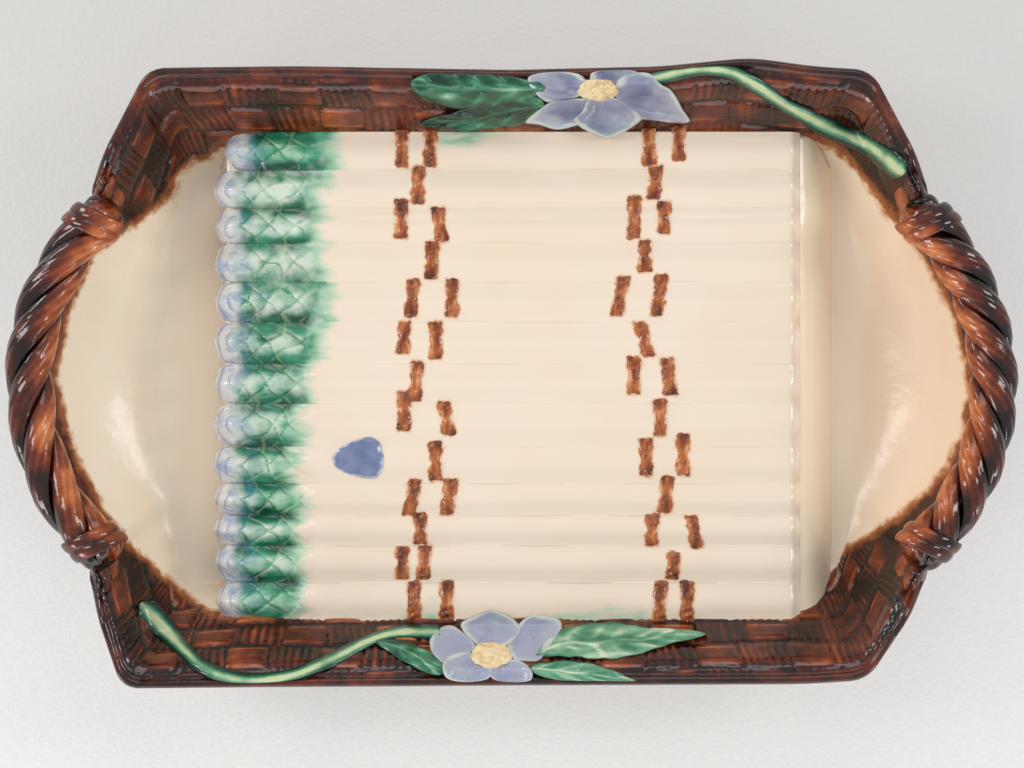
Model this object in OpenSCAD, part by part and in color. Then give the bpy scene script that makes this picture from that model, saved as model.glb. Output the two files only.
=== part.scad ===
// Asparagus platter shaped as a basket: a cast shell with two wells, a raised bed of
// asparagus stalks, rope handles, basket weave, and flowers with leaves and vines.
// +X runs along the length, +Y to the back edge, +Z up. The foot ring stands at z = 0.

/* [Overall] */
// Length over the two rope handles
length = 400; // [360:1:440]
// Width over the back and front edges
width = 248.6; // [236:0.2:262]
// Height of the back and front edges above the table
edge_height = 56; // [50:0.5:62]
// Thickness of the cast wall
wall = 6; // [5:0.25:7]
// Width of the flat top of the edge
edge_width = 7; // [6:0.25:8]
// Space left between pieces that are laid on each other
seat_gap = 0.2; // [0.1:0.05:0.3]

/* [Foot] */
// Height of the foot ring
foot_height = 5; // [3:0.5:8]
// Length of the foot ring
foot_length = 252; // [240:1:258]
// Width of the foot ring
foot_breadth = 160; // [154:1:164]
// Breadth of the ring's standing face
foot_face = 8; // [6:0.5:10]
// Outer corner radius of the foot ring
foot_corner = 24; // [18:1:30]

/* [Wells] */
// From the left end of the platter to the top of the bed
tip_well_length = 85; // [82:0.5:90]
// From the right end of the platter to the top of the bed
cut_well_length = 84; // [82:0.5:90]
// From the ends of the platter to its flat floor
floor_inset = 54; // [50:0.5:60]
// How far the floor's ends draw in towards their corners
floor_bow = 8; // [4:0.5:12]

/* [Rope handles] */
// Radius of the rope
rope_radius = 10; // [8:0.25:11]
// Height of the rope's middle above the table
rope_height = 55; // [52:0.5:60]
// How far the rope bulges out past the line between its ends
rope_bulge = 29; // [24:0.5:34]
// How far both ropes sit towards the front
rope_shift = 3.7; // [0:0.1:6]
// Length of one full turn of a strand, right rope
right_turn = 57; // [50:1:80]
// Length of one full turn of a strand, left rope
left_turn = 78; // [60:1:90]
// Depth of the grooves between strands
strand_groove = 2.6; // [1.5:0.1:3.2]
// Length of the binding at a rope's end
binding_length = 12; // [9:0.5:14]
// Thickness of the binding over the rope
binding_thickness = 1.8; // [1.2:0.1:2.4]

/* [Stalk bed] */
// Height of the deck that carries the stalks
deck_height = 27; // [24:0.5:30]
// Run of the end slope on the tip side
tip_slope_run = 5; // [3:0.5:8]
// Run of the end slope on the cut side
cut_slope_run = 14; // [10:0.5:16]
// Height of a stalk's straight side
stalk_side = 2.6; // [2:0.1:3.5]
// Height of a stalk's rounded crown
stalk_crown = 3.6; // [2.5:0.1:4.5]
// Length of the bevel at a stalk's cut end
stalk_bevel = 5; // [3:0.5:7]
// Length of a tip
tip_length = 37; // [30:0.5:42]
// Radius left at the tip's blunt nose
tip_nose = 4; // [3:0.25:5]
// Height of one row of scales on a tip
scale_rise = 0.8; // [0.4:0.1:1.2]
// Width of a tie
tie_width = 4.8; // [3.5:0.1:6]
// Thickness of a tie
tie_thickness = 0.9; // [0.6:0.1:1.4]

/* [Basket weave] */
// Length of a slat
slat_length = 16.5; // [12:0.5:22]
// Breadth of a row of slats, seen from above
slat_breadth = 5.6; // [4.5:0.1:6]
// Space between neighbouring slats
slat_space = 1.6; // [1:0.1:3]
// Height of a slat at its edge
slat_edge = 0.5; // [0.3:0.05:0.8]
// Height that a slat's middle stands over its edge
slat_crown = 0.8; // [0.4:0.05:1.2]
// Height of the rolled lip on the edge
lip_rise = 2.2; // [1.5:0.1:3]

/* [Flowers and vines] */
// Height of the flowers, leaves and vines over the wall, which clears its slats
sprig_lift = 2; // [1.8:0.05:2.2]
// Thickness of a leaf or petal at its rim
leaf_edge = 0.9; // [0.6:0.05:1.4]
// Half the breadth of the widest leaf
leaf_half = 6.8; // [5:0.1:7.4]
// Extra thickness of a leaf at its midrib
leaf_crown = 1.5; // [0.8:0.1:2.2]
// Reach of the longest petal from the middle of its flower
petal_reach = 34; // [30:0.5:36]
// Extra thickness of a petal at its middle
petal_crown = 2; // [1:0.1:2.6]
// Radius of a flower's centre
flower_eye = 6; // [5:0.25:7]
// Height of a flower's centre
flower_eye_rise = 4.5; // [3:0.25:6]
// Width of a vine
vine_width = 5.5; // [4:0.25:7]
// Height of a vine's crest
vine_rise = 3; // [2:0.1:4]
// Half the breadth of the loose petal on the bed
loose_petal_half = 6.5; // [5:0.25:7]
// Length of the loose petal on the bed
loose_petal_length = 19; // [14:0.5:22]

/* [Hidden] */

cream = "#efe0c8";
brown = "#5a2c16";
dark_brown = "#3b1c10";
green = "#2f8a5f";
pale_green = "#b9cf9a";
lilac = "#7f86b5";
yellow = "#ead9a0";
clay = "#c9b79c";

// One overrun serves all cuts
overrun = 2;
// How far apart the outline is averaged, which rounds its corners
corner_blur = 3;
// Stretch of the outline over which a surface direction is measured
probe = 1.5;
// Free angle on each side of a strand, in degrees
strand_free = 2;
half_length = length / 2;
half_width = width / 2;
deck_tip_side = half_length - tip_well_length;
deck_cut_side = half_length - cut_well_length;
floor_height = foot_height + wall;
floor_reach = half_length - floor_inset;
// Half the breadth of the floor at its ends, and half the distance between a rope's ends, as
// shares of half the width
floor_end_share = 0.37;
floor_end_half = floor_end_share * half_width;
rope_span_share = 0.531;
rope_half_span = rope_span_share * half_width;
rope_clearance = 0.3;
seat_height = rope_height - rope_radius - rope_clearance;

// Rope arcs: a circle through both ends and the apex
rope_apex = half_length - rope_radius;
arc_radius = (rope_bulge * rope_bulge + rope_half_span * rope_half_span) / (2 * rope_bulge);
arc_middle = rope_apex - arc_radius;
arc_angle = asin(rope_half_span / arc_radius);
arc_steps = 12;

// Outline rows: edge x and y, floor x and y, bowl power, and 1 where a rope is seated.
// Edge and floor places are shares of half the length and half the width.
back_outline_shares = [
    [0.838, 0.556, 0.700, 0.400, 1.7, 1],
    [0.822, 0.612, 0.697, 0.440, 1.6, 1],
    [0.799, 0.690, 0.690, 0.510, 1.5, 0],
    [0.709, 0.961, 0.668, 0.700, 1.2, 0],
    [0.600, 0.972, 0.560, 0.690, 1.0, 0],
    [0.469, 1.000, 0.430, 0.690, 1.0, 0],
    [0.290, 0.972, 0.270, 0.690, 1.0, 0],
    [0.000, 0.961, 0.000, 0.690, 1.0, 0],
    [-0.416, 0.973, -0.390, 0.690, 1.0, 0],
    [-0.600, 0.970, -0.560, 0.690, 1.0, 0],
    [-0.717, 0.967, -0.657, 0.700, 1.2, 0],
    [-0.806, 0.690, -0.690, 0.510, 1.5, 0],
    [-0.829, 0.612, -0.697, 0.440, 1.6, 1],
    [-0.844, 0.556, -0.700, 0.400, 1.7, 1]];
front_outline_shares = [
    [-0.848, -0.616, -0.700, -0.420, 1.7, 1],
    [-0.835, -0.675, -0.697, -0.470, 1.6, 1],
    [-0.818, -0.760, -0.690, -0.550, 1.5, 0],
    [-0.768, -1.000, -0.668, -0.700, 1.2, 0],
    [-0.600, -0.997, -0.560, -0.690, 1.0, 0],
    [0.000, -0.990, 0.000, -0.690, 1.0, 0],
    [0.580, -0.986, 0.540, -0.690, 1.0, 0],
    [0.701, -0.973, 0.668, -0.700, 1.2, 0],
    [0.790, -0.760, 0.690, -0.550, 1.5, 0],
    [0.817, -0.675, 0.697, -0.470, 1.6, 1],
    [0.838, -0.616, 0.700, -0.420, 1.7, 1]];
back_middle_row = 7;
front_middle_row = 5;
rope_bowl_power = 1.9;

function mix(a, b, t) = a + (b - a) * t;
function place_at(share) = [share[0] * half_length, share[1] * half_width];
function hold(value, low, high) = min(max(value, low), high);

function outline_row(row) = [row[0] * half_length, row[1] * half_width,
    row[2] * half_length, row[3] * half_width, row[4], row[5]];

function rope_row(side, share) =
    let (angle = share * arc_angle, r = arc_radius + edge_width / 2)
    [side * (arc_middle + r * cos(angle)), r * sin(angle) - rope_shift,
     side * (floor_reach - floor_bow * share * share), share * floor_end_half - rope_shift,
     rope_bowl_power, 1];

outline = concat(
    [for (i = [0:arc_steps]) rope_row(1, 2 * i / arc_steps - 1)],
    [for (row = back_outline_shares) outline_row(row)],
    [for (i = [0:arc_steps]) rope_row(-1, 1 - 2 * i / arc_steps)],
    [for (row = front_outline_shares) outline_row(row)]);

function step_length(i) =
    let (a = outline[i], b = outline[(i + 1) % len(outline)])
    norm([b[0] - a[0], b[1] - a[1]]);
function running(i, total) = i == len(outline) ? [total]
    : concat([total], running(i + 1, total + step_length(i)));
way = running(0, 0);
girth = way[len(outline)];

function find_step(d, low, high) = high - low <= 1 ? low
    : let (m = floor((low + high) / 2)) way[m] <= d ? find_step(d, m, high) : find_step(d, low, m);
function raw_row(distance) =
    let (d = distance - girth * floor(distance / girth), i = find_step(d, 0, len(outline)))
    mix(outline[i], outline[(i + 1) % len(outline)], (d - way[i]) / (way[i + 1] - way[i]));
function blurred_row(d) = (raw_row(d - 2 * corner_blur) + raw_row(d - corner_blur) + raw_row(d)
    + raw_row(d + corner_blur) + raw_row(d + 2 * corner_blur)) / 5;

fine_count = 144;
ring = [for (i = [0:fine_count - 1]) blurred_row(girth * i / fine_count)];

// Distance along the edge to the middle of the back and front edges
back_middle = way[arc_steps + 1 + back_middle_row];
front_middle = way[2 * (arc_steps + 1) + len(back_outline_shares) + front_middle_row];

function ring_row(distance) =
    let (f = fine_count * (distance / girth - floor(distance / girth)), i = floor(f))
    mix(ring[i % fine_count], ring[(i + 1) % fine_count], f - i);

// A point of the dish's inner face: distance along the edge, and inward from its outer corner
function face_of(row, inward) =
    let (edge = [row[0], row[1]], foot = [row[2], row[3]], reach = norm(foot - edge),
        rise = hold((reach - inward) / (reach - edge_width), 0, 1),
        top = mix(edge_height, seat_height, row[5]),
        z = inward <= edge_width ? top : floor_height + (top - floor_height) * pow(rise, row[4]),
        spot = edge + (foot - edge) * inward / reach)
    [spot[0], spot[1], z];
function face(distance, inward) = face_of(ring_row(distance), inward);
function face_way(distance, inward) =
    let (n = cross(face(distance + probe, inward) - face(distance - probe, inward),
        face(distance, inward + probe) - face(distance, max(inward - probe, 0))))
    n[2] < 0 ? -n / norm(n) : n / norm(n);
function over_face(distance, inward, height) =
    face(distance, inward) + height * face_way(distance, inward);

// The same face found from a place in plan
crossing_steps = 4;
function turn_of(place, i) =
    let (row = ring[i % fine_count], edge = [row[0], row[1]], foot = [row[2], row[3]],
        d = foot - edge, p = place - edge)
    (d[0] * p[1] - d[1] * p[0]) / norm(d);
function ahead(place, i) =
    let (row = ring[i % fine_count], edge = [row[0], row[1]], foot = [row[2], row[3]])
    (foot - edge) * (place - foot) <= norm(foot - edge) * wall;
function near_steps(place) = [for (i = [0:fine_count - 1])
    let (a = turn_of(place, i), b = turn_of(place, i + 1))
    if (a * b <= 0 && abs(a) + abs(b) < crossing_steps * girth / fine_count && ahead(place, i)) [i, a, b]];
function edge_place(place) =
    let (found = near_steps(place)[0], t = found[1] / (found[1] - found[2]),
        row = mix(ring[found[0]], ring[(found[0] + 1) % fine_count], t))
    [(found[0] + t) * girth / fine_count, norm(place - [row[0], row[1]])];

// A place over the wall's slats or the bare edge or, where those lie lower, over the stalks
stalk_top = deck_height + stalk_side + stalk_crown;
function over_plan(place, height) =
    let (at = edge_place(place), inward = max(at[1], leaf_edge),
        lift = mix(seat_gap, sprig_lift,
            hold((inward - slat_space) / (edge_width - 2 * slat_space), 0, 1)),
        p = over_face(at[0], inward, lift + height), low = stalk_top + seat_gap + height)
    [p[0], p[1], max(p[2], low)];

// A closed sheet between two grids of points, whose rows run on and whose columns run to the left
module sheet(upper, lower) {
    rows = len(upper);
    columns = len(upper[0]);
    count = rows * columns;
    function at(i, j) = i * columns + j;
    upper_faces = [for (i = [0:rows - 2], j = [0:columns - 2]) each [
        [at(i, j), at(i + 1, j + 1), at(i + 1, j)], [at(i, j), at(i, j + 1), at(i + 1, j + 1)]]];
    lower_faces = [for (f = upper_faces) [count + f[0], count + f[2], count + f[1]]];
    rim = concat([for (j = [0:columns - 2]) at(0, j)],
        [for (i = [0:rows - 2]) at(i, columns - 1)],
        [for (j = [columns - 1:-1:1]) at(rows - 1, j)],
        [for (i = [rows - 1:-1:1]) at(i, 0)]);
    rim_faces = [for (k = [0:len(rim) - 1])
        let (a = rim[k], b = rim[(k + 1) % len(rim)])
        each [[a, count + b, b], [a, count + a, count + b]]];
    polyhedron([for (r = upper) each r, for (r = lower) each r],
        concat(upper_faces, lower_faces, rim_faces));
}

// Relief along a path in plan. Half widths are given along it, and the top is rounded across.
function path_way(path, i) =
    let (a = path[max(i - 1, 0)], b = path[min(i + 1, len(path) - 1)]) (b - a) / norm(b - a);
function relief_grid(path, halves, columns, base, rise) = [for (i = [0:len(path) - 1])
    let (d = path_way(path, i), side = [-d[1], d[0]])
    [for (j = [0:columns])
        let (w = 2 * j / columns - 1)
        over_plan(path[i] + side * halves[i] * w, base + rise * sqrt(1 - w * w))]];
module relief(path, halves, columns, edge, crown) {
    sheet(relief_grid(path, halves, columns, edge, crown), relief_grid(path, halves, columns, 0, 0));
}

// A bent leaf or petal: from its root over a control point to its tip
function bent(a, b, c, t) = (1 - t) * (1 - t) * a + 2 * t * (1 - t) * b + t * t * c;
blade_steps = 8;
blade_columns = 4;
module blade(root, control, tip, half, fullness, crown) {
    path = [for (i = [0:blade_steps]) bent(root, control, tip, i / blade_steps)];
    halves = [for (i = [0:blade_steps])
        half * mix(blunt_share, 1, sin(180 * pow(i / blade_steps, fullness)))];
    relief(path, halves, blade_columns, leaf_edge, crown);
}
// Width share left at a leaf's two ends
blunt_share = 0.16;

wall_steps = 8;
module dish_shell() {
    recess_share = 0.76;
    rises = [for (i = [0:wall_steps]) i / wall_steps];
    function section(row) =
        let (edge = [row[0], row[1]], foot = [row[2], row[3]], reach = norm(edge - foot),
            outward = (edge - foot) / reach, top = mix(edge_height, seat_height, row[5]),
            mouth = reach - edge_width)
        concat(
            [[foot[0] * recess_share, foot[1] * recess_share, floor_height]],
            [for (v = rises) let (spot = foot + outward * mouth * v)
                [spot[0], spot[1], floor_height + (top - floor_height) * pow(v, row[4])]],
            [for (k = [len(rises) - 1:-1:0])
                let (v = rises[k], spot = foot + outward * mix(wall / 2, reach, v))
                [spot[0], spot[1], foot_height + (top - foot_height) * pow(v, row[4])]],
            [[foot[0] * recess_share, foot[1] * recess_share, foot_height]]);
    sections = [for (row = ring) section(row)];
    m = len(sections[0]);
    n = len(sections);
    color(cream) polyhedron([for (s = sections) each s],
        [for (i = [0:n - 1], j = [0:m - 1])
            let (a = i * m + j, b = i * m + (j + 1) % m,
                c = ((i + 1) % n) * m + (j + 1) % m, d = ((i + 1) % n) * m + j)
            each [[a, c, b], [a, d, c]]]);
}

module rounded_plate(size_x, size_y, corner) {
    square([size_x - 2 * corner, size_y], center = true);
    square([size_x, size_y - 2 * corner], center = true);
    for (x = [-1, 1], y = [-1, 1])
        translate([x * (size_x / 2 - corner), y * (size_y / 2 - corner)]) circle(corner, $fn = 64);
}

module foot_ring() {
    color(clay) linear_extrude(foot_height) difference() {
        rounded_plate(foot_length, foot_breadth, foot_corner);
        rounded_plate(foot_length - 2 * foot_face, foot_breadth - 2 * foot_face,
            foot_corner - foot_face);
    }
}

// Straight part of the back and front walls at a height, less the clearance of the bed
bed_clearance = 0.4;
back_edge_y = min([for (row = back_outline_shares) if (row[4] == 1) row[1]]) * half_width;
front_edge_y = max([for (row = front_outline_shares) if (row[4] == 1) row[1]]) * half_width;
floor_side_y = back_outline_shares[back_middle_row][3] * half_width;
function wall_y(edge_y, z) = mix(floor_side_y, edge_y - edge_width,
    (z - floor_height) / (edge_height - floor_height)) - bed_clearance;
back_low = wall_y(back_edge_y, floor_height);
back_high = wall_y(back_edge_y, deck_height);
front_low = wall_y(-front_edge_y, floor_height);
front_high = wall_y(-front_edge_y, deck_height);

// A prism along Y from an outline in X and Z
module across(outline_xz) {
    rotate([90, 0, 0]) translate([0, 0, -width / 2]) linear_extrude(width) polygon(outline_xz);
}

module stalk_deck() {
    color(cream) difference() {
        intersection() {
            across([[-deck_tip_side - tip_slope_run, floor_height],
                [deck_cut_side + cut_slope_run, floor_height],
                [deck_cut_side, deck_height], [-deck_tip_side, deck_height]]);
            rotate([90, 0, 90]) translate([0, 0, -half_length]) linear_extrude(length)
                polygon([[-front_low, floor_height], [back_low, floor_height],
                    [back_high, deck_height], [-front_high, deck_height]]);
        }
        across([[-deck_tip_side - tip_slope_run + wall, floor_height - overrun],
            [deck_cut_side + cut_slope_run - wall, floor_height - overrun],
            [deck_cut_side - wall / 2, deck_height - wall],
            [-deck_tip_side + wall, deck_height - wall]]);
    }
}

// Breadth of each stalk, from the back, as a share of the mean breadth
stalk_breadth_shares = [1.01, 1.01, 0.93, 1.03, 1.06, 1.11, 1.06, 1.14, 0.98, 0.85, 0.80, 0.98, 1.04];
stalk_count = len(stalk_breadth_shares);
breadth_total = stalk_breadth_shares * [for (s = stalk_breadth_shares) 1];
bed_breadth = back_high + front_high;
function edge_share(i) = i == 0 ? 0 : edge_share(i - 1) + stalk_breadth_shares[i - 1] / breadth_total;
function stalk_back(i) = back_high - bed_breadth * edge_share(i);
function stalk_breadth(i) = stalk_back(i) - stalk_back(i + 1) - seat_gap;
function stalk_middle(i) = (stalk_back(i) + stalk_back(i + 1)) / 2;
function crown_radius(i) =
    (stalk_breadth(i) * stalk_breadth(i) / 4 + stalk_crown * stalk_crown) / (2 * stalk_crown);
function crown_middle(i) = stalk_side + stalk_crown - crown_radius(i);
tip_joint = tip_length - deck_tip_side;

module stalk(i) {
    b = stalk_breadth(i);
    color(cream) translate([0, stalk_middle(i), deck_height]) intersection() {
        rotate([90, 0, 90]) translate([0, 0, tip_joint])
            linear_extrude(deck_cut_side - tip_joint) intersection() {
                translate([-b / 2, 0]) square([b, stalk_side + stalk_crown]);
                translate([0, crown_middle(i)]) circle(crown_radius(i), $fn = 96);
            }
        across([[tip_joint - overrun, -overrun], [deck_cut_side, -overrun],
            [deck_cut_side, 0], [deck_cut_side - stalk_bevel, stalk_side + stalk_crown],
            [tip_joint - overrun, stalk_side + stalk_crown + overrun]]);
    }
}

// A bud turned about its own axis: rows of scales that narrow to a blunt nose
scale_rows = 6;
// Share of a row's length over which it rises, before it falls back to the next row
scale_slope_share = 0.98;
nose_overhang = 6;
function bud_radius(full, share) = mix(tip_nose, full, sqrt(1 - pow(share, 4)));
module tip(i) {
    full = stalk_breadth(i) / 2;
    reach = tip_length + nose_overhang - seat_gap;
    scales = [for (k = [0:scale_rows - 1]) each [
        [bud_radius(full, k / scale_rows), reach * k / scale_rows],
        [bud_radius(full, (k + 1) / scale_rows) - scale_rise,
            reach * (k + scale_slope_share) / scale_rows]]];
    color(green) translate([tip_joint - seat_gap, stalk_middle(i), deck_height]) intersection() {
        rotate([0, -90, 0]) rotate_extrude($fn = 48)
            polygon(concat([[0, 0]], scales, [[0, reach]]));
        across([[overrun, 0], [overrun, 2 * full], [-reach - overrun, 2 * full],
            [-reach - overrun, -full],
            [-tip_length - seat_gap - full * tip_slope_run / (deck_height - floor_height), -full],
            [-tip_length - seat_gap, 0]]);
    }
}

// One of the strands: its part of the rope's round section, turned along the arc
strand_count = 3;
strand_points = 7;
turn_steps = 16;
strand_round_power = 0.7;
function strand_radius(angle) =
    rope_radius - strand_groove * (1 - pow(cos(strand_count / 2 * angle), strand_round_power));
function strand_section(at, turn, side) =
    let (middle = [side * (arc_middle + arc_radius * cos(at)), arc_radius * sin(at) - rope_shift],
        out = [side * cos(at), sin(at)],
        free_half = 180 / strand_count - strand_free)
    concat([for (k = [0:strand_points - 1])
        let (a = free_half * (2 * k / (strand_points - 1) - 1), r = strand_radius(a), b = turn + a)
        [middle[0] + out[0] * r * cos(b), middle[1] + out[1] * r * cos(b),
            rope_height + r * sin(b)]],
        [[middle[0] + out[0] * seat_gap * cos(turn), middle[1] + out[1] * seat_gap * cos(turn),
            rope_height + seat_gap * sin(turn)]]);
module strand(side, turn_length, k) {
    arc_length = 2 * arc_radius * arc_angle * PI / 180;
    turns = arc_length / turn_length;
    steps = ceil(turns * turn_steps);
    sections = [for (i = [0:steps])
        strand_section(arc_angle * (2 * i / steps - 1),
        360 * (k / strand_count + turns * i / steps), side)];
    m = strand_points + 1;
    around = [for (i = [0:steps - 1], j = [0:m - 1])
        let (a = i * m + j, b = i * m + (j + 1) % m, c = a + m, d = b + m)
        each side > 0 ? [[a, b, d], [a, d, c]] : [[a, d, b], [a, c, d]]];
    first = [for (j = [0:m - 1]) j];
    last = [for (j = [0:m - 1]) steps * m + m - 1 - j];
    color(brown) polyhedron([for (s = sections) each s],
        concat(around, side > 0 ? [reversed(first), reversed(last)] : [first, last]));
}
function reversed(list) = [for (i = [len(list) - 1:-1:0]) list[i]];

// A cord wound three times round the rope's end, open below where it straddles the edge
module binding(side, end) {
    bore = rope_radius + rope_clearance;
    winds = 3;
    pitch = binding_length / winds;
    inset = binding_length / 2 / (arc_radius * PI / 180);
    at = end * (arc_angle - inset);
    color(dark_brown) intersection() {
        translate([side * (arc_middle + arc_radius * cos(at)),
                arc_radius * sin(at) - rope_shift, rope_height])
            rotate([0, 0, side > 0 ? at : 180 - at]) rotate([90, 0, 0])
            rotate_extrude($fn = 72) {
                translate([bore, -binding_length / 2])
                    square([binding_thickness / 2, binding_length]);
                for (k = [0:winds - 1])
                    translate([bore + binding_thickness / 2, (k + 0.5) * pitch - binding_length / 2])
                        intersection() {
                            circle(pitch / 2, $fn = 24);
                            translate([0, -pitch]) square([binding_thickness / 2, 2 * pitch]);
                        }
            }
        translate([-length, -width, seat_height + rope_clearance])
            cube([2 * length, 2 * width, edge_height]);
    }
}

// The rolled lip, from one distance along the edge to another
lip_columns = 4;
module lip(from, to) {
    step = girth / fine_count;
    places = concat([from], [for (k = [ceil(from / step):floor(to / step)]) k * step], [to]);
    function row(place, height, crown) = [for (j = [0:lip_columns])
        let (w = 2 * j / lip_columns - 1, half = edge_width / 2 - seat_gap)
        face(place, edge_width / 2 + w * half)
            + [0, 0, seat_gap + height + crown * sqrt(1 - w * w)]];
    color(dark_brown) sheet([for (place = places) row(place, slat_edge, lip_rise - slat_edge)],
        [for (place = places) row(place, 0, 0)]);
}

// Distances along the edge where the lip starts and ends
function along_back(x) = back_middle - x;
function along_front(x) = front_middle + x;
back_corner_row = 3;
front_corner_row = 3;
function from_end(rows, i) = rows[len(rows) - 1 - i];
right_back_corner_x = back_outline_shares[back_corner_row][0] * half_length;
left_back_corner_x = from_end(back_outline_shares, back_corner_row)[0] * half_length;
left_front_corner_x = front_outline_shares[front_corner_row][0] * half_length;
right_front_corner_x = from_end(front_outline_shares, front_corner_row)[0] * half_length;
shoulder_clear = 4;
shoulder_row = 1;
right_back_shoulder = way[arc_steps + 1 + shoulder_row] + shoulder_clear;
left_back_shoulder = way[arc_steps + len(back_outline_shares) - shoulder_row] - shoulder_clear;
left_front_shoulder = way[len(outline) - len(front_outline_shares) + shoulder_row] + shoulder_clear;
right_front_shoulder = way[len(outline) - 1 - shoulder_row] - shoulder_clear;
// Where the flowers, leaves and vines lie over the edge, as shares of half the length
vine_clear_share = 0.58;
back_leaf_clear_share = -0.22;
front_vine_clear_share = -0.63;
front_leaf_clear_share = 0.40;

module back_lip() {
    lip(right_back_shoulder, along_back(vine_clear_share * half_length));
    lip(along_back(back_leaf_clear_share * half_length), left_back_shoulder);
}
module front_lip() {
    lip(left_front_shoulder, along_front(front_vine_clear_share * half_length));
    lip(along_front(front_leaf_clear_share * half_length), right_front_shoulder);
}

// Rows of slats between two distances along the edge
slat_columns = 3;
function slat_grid(start, end, inner, height, crown) = [for (i = [0:slat_columns])
    [for (j = [0:2])
        let (u = 2 * i / slat_columns - 1, w = j - 1)
        over_face(mix(start, end, i / slat_columns), inner + j * slat_breadth / 2,
            seat_gap + height + crown * (1 - u * u * u * u) * (1 - w * w))]];
module slats(from, to, rows) {
    pitch = slat_length + slat_space;
    count = max(1, floor((to - from) / pitch));
    for (r = [0:rows - 1], k = [0:count - 1]) {
        start = from + (to - from - count * pitch) / 2 + (k + (r % 2) / 2) * pitch;
        end = min(start + slat_length, to);
        inner = edge_width + slat_space + r * (slat_breadth + slat_space / 4);
        if (end - start > slat_length / 3)
            color(brown) sheet(slat_grid(start, end, inner, slat_edge, slat_crown),
                slat_grid(start, end, inner, 0, 0));
    }
}
wall_rows = 2;
corner_rows = 3;
corner_clear = 14;

// Slats on the outside of the wall: distance along the edge, and share of the wall's height
share_probe = 0.01;
function skin_of(row, share) =
    let (edge = [row[0], row[1]], foot = [row[2], row[3]], reach = norm(edge - foot),
        top = mix(edge_height, seat_height, row[5]),
        spot = foot + (edge - foot) / reach * mix(wall / 2, reach, share))
    [spot[0], spot[1], foot_height + (top - foot_height) * pow(share, row[4])];
function skin(distance, share) = skin_of(ring_row(distance), share);
function skin_way(distance, share) =
    let (n = cross(skin(distance + probe, share) - skin(distance - probe, share),
        skin(distance, share + share_probe) - skin(distance, share - share_probe)))
    n / norm(n);
function outer_grid(start, end, share, height, crown) = [for (i = [0:slat_columns])
    [for (j = [0:2])
        let (u = 2 * i / slat_columns - 1, w = j - 1, place = mix(start, end, i / slat_columns),
            rise = share + j * outer_row_share / 2)
        skin(place, rise) + skin_way(place, rise)
            * (seat_gap + height + crown * (1 - u * u * u * u) * (1 - w * w))]];
// Where each row starts, and how much of the wall it covers, as shares of the wall's height
outer_rows_shares = [0.20, 0.37, 0.54, 0.71];
outer_row_share = 0.13;
module outer_slats(from, to) {
    pitch = 2 * (slat_length + slat_space);
    count = floor((to - from) / pitch + 1 / 2);
    for (r = [0:len(outer_rows_shares) - 1], k = [0:count - 1]) {
        start = from + (to - from - count * pitch) / 2 + (k + (r % 2) / 2) * pitch;
        color(brown) sheet(
            outer_grid(start, start + slat_length, outer_rows_shares[r], slat_edge, slat_crown),
            outer_grid(start, start + slat_length, outer_rows_shares[r], 0, 0));
    }
}

module back_weave() {
    from = along_back(right_back_corner_x - corner_clear);
    to = along_back(left_back_corner_x + corner_clear);
    slats(from, to, wall_rows);
    outer_slats(from, to);
}
module front_weave() {
    from = along_front(left_front_corner_x + corner_clear);
    to = along_front(right_front_corner_x - corner_clear);
    slats(from, to, wall_rows);
    outer_slats(from, to);
}
// Stretches between a corner and a rope's end
module left_back_weave() {
    corner = along_back(left_back_corner_x);
    slats(corner - corner_clear + slat_space, left_back_shoulder, corner_rows);
    outer_slats(corner + corner_clear / 2, left_back_shoulder);
}
module right_back_weave() {
    corner = along_back(right_back_corner_x);
    slats(right_back_shoulder, corner + corner_clear - slat_space, corner_rows);
    outer_slats(right_back_shoulder, corner - corner_clear / 2);
}
module left_front_weave() {
    corner = along_front(left_front_corner_x);
    slats(left_front_shoulder, corner + corner_clear - slat_space, corner_rows);
    outer_slats(left_front_shoulder, corner - corner_clear / 2);
}
module right_front_weave() {
    corner = along_front(right_front_corner_x);
    slats(corner - corner_clear + slat_space, right_front_shoulder, corner_rows);
    outer_slats(corner + corner_clear / 2, right_front_shoulder);
}

// Ties: the stalk that each one crosses, and its place along the bed as a share
left_tie_shares = [[1, 0.310], [1, 0.359], [2, 0.338], [3, 0.308], [3, 0.376], [4, 0.362],
    [5, 0.328], [5, 0.397], [6, 0.313], [6, 0.369], [7, 0.334], [8, 0.313], [8, 0.386],
    [9, 0.367], [10, 0.328], [10, 0.391], [11, 0.341], [12, 0.310], [12, 0.348], [13, 0.331],
    [13, 0.388]];
right_tie_shares = [[1, 0.738], [1, 0.790], [2, 0.749], [3, 0.712], [3, 0.764], [4, 0.732],
    [5, 0.688], [5, 0.756], [6, 0.730], [7, 0.712], [7, 0.773], [8, 0.758], [9, 0.733],
    [9, 0.797], [10, 0.768], [11, 0.744], [11, 0.816], [12, 0.780], [13, 0.758], [13, 0.804]];
tie_gap = 0.05;
module tie(row) {
    i = row[0] - 1;
    r = crown_radius(i);
    b = stalk_breadth(i);
    x = mix(-deck_tip_side, deck_cut_side, row[1]);
    color(brown) translate([x - tie_width / 2, stalk_middle(i), deck_height])
        rotate([90, 0, 90]) linear_extrude(tie_width) intersection() {
            translate([-b / 2, stalk_side]) square([b, stalk_crown + 2 * tie_thickness]);
            translate([0, crown_middle(i)]) difference() {
                circle(r + tie_gap + tie_thickness, $fn = 96);
                circle(r + tie_gap, $fn = 96);
            }
        }
}
module left_ties() {
    for (row = left_tie_shares) tie(row);
}
module right_ties() {
    for (row = right_tie_shares) tie(row);
}

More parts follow.
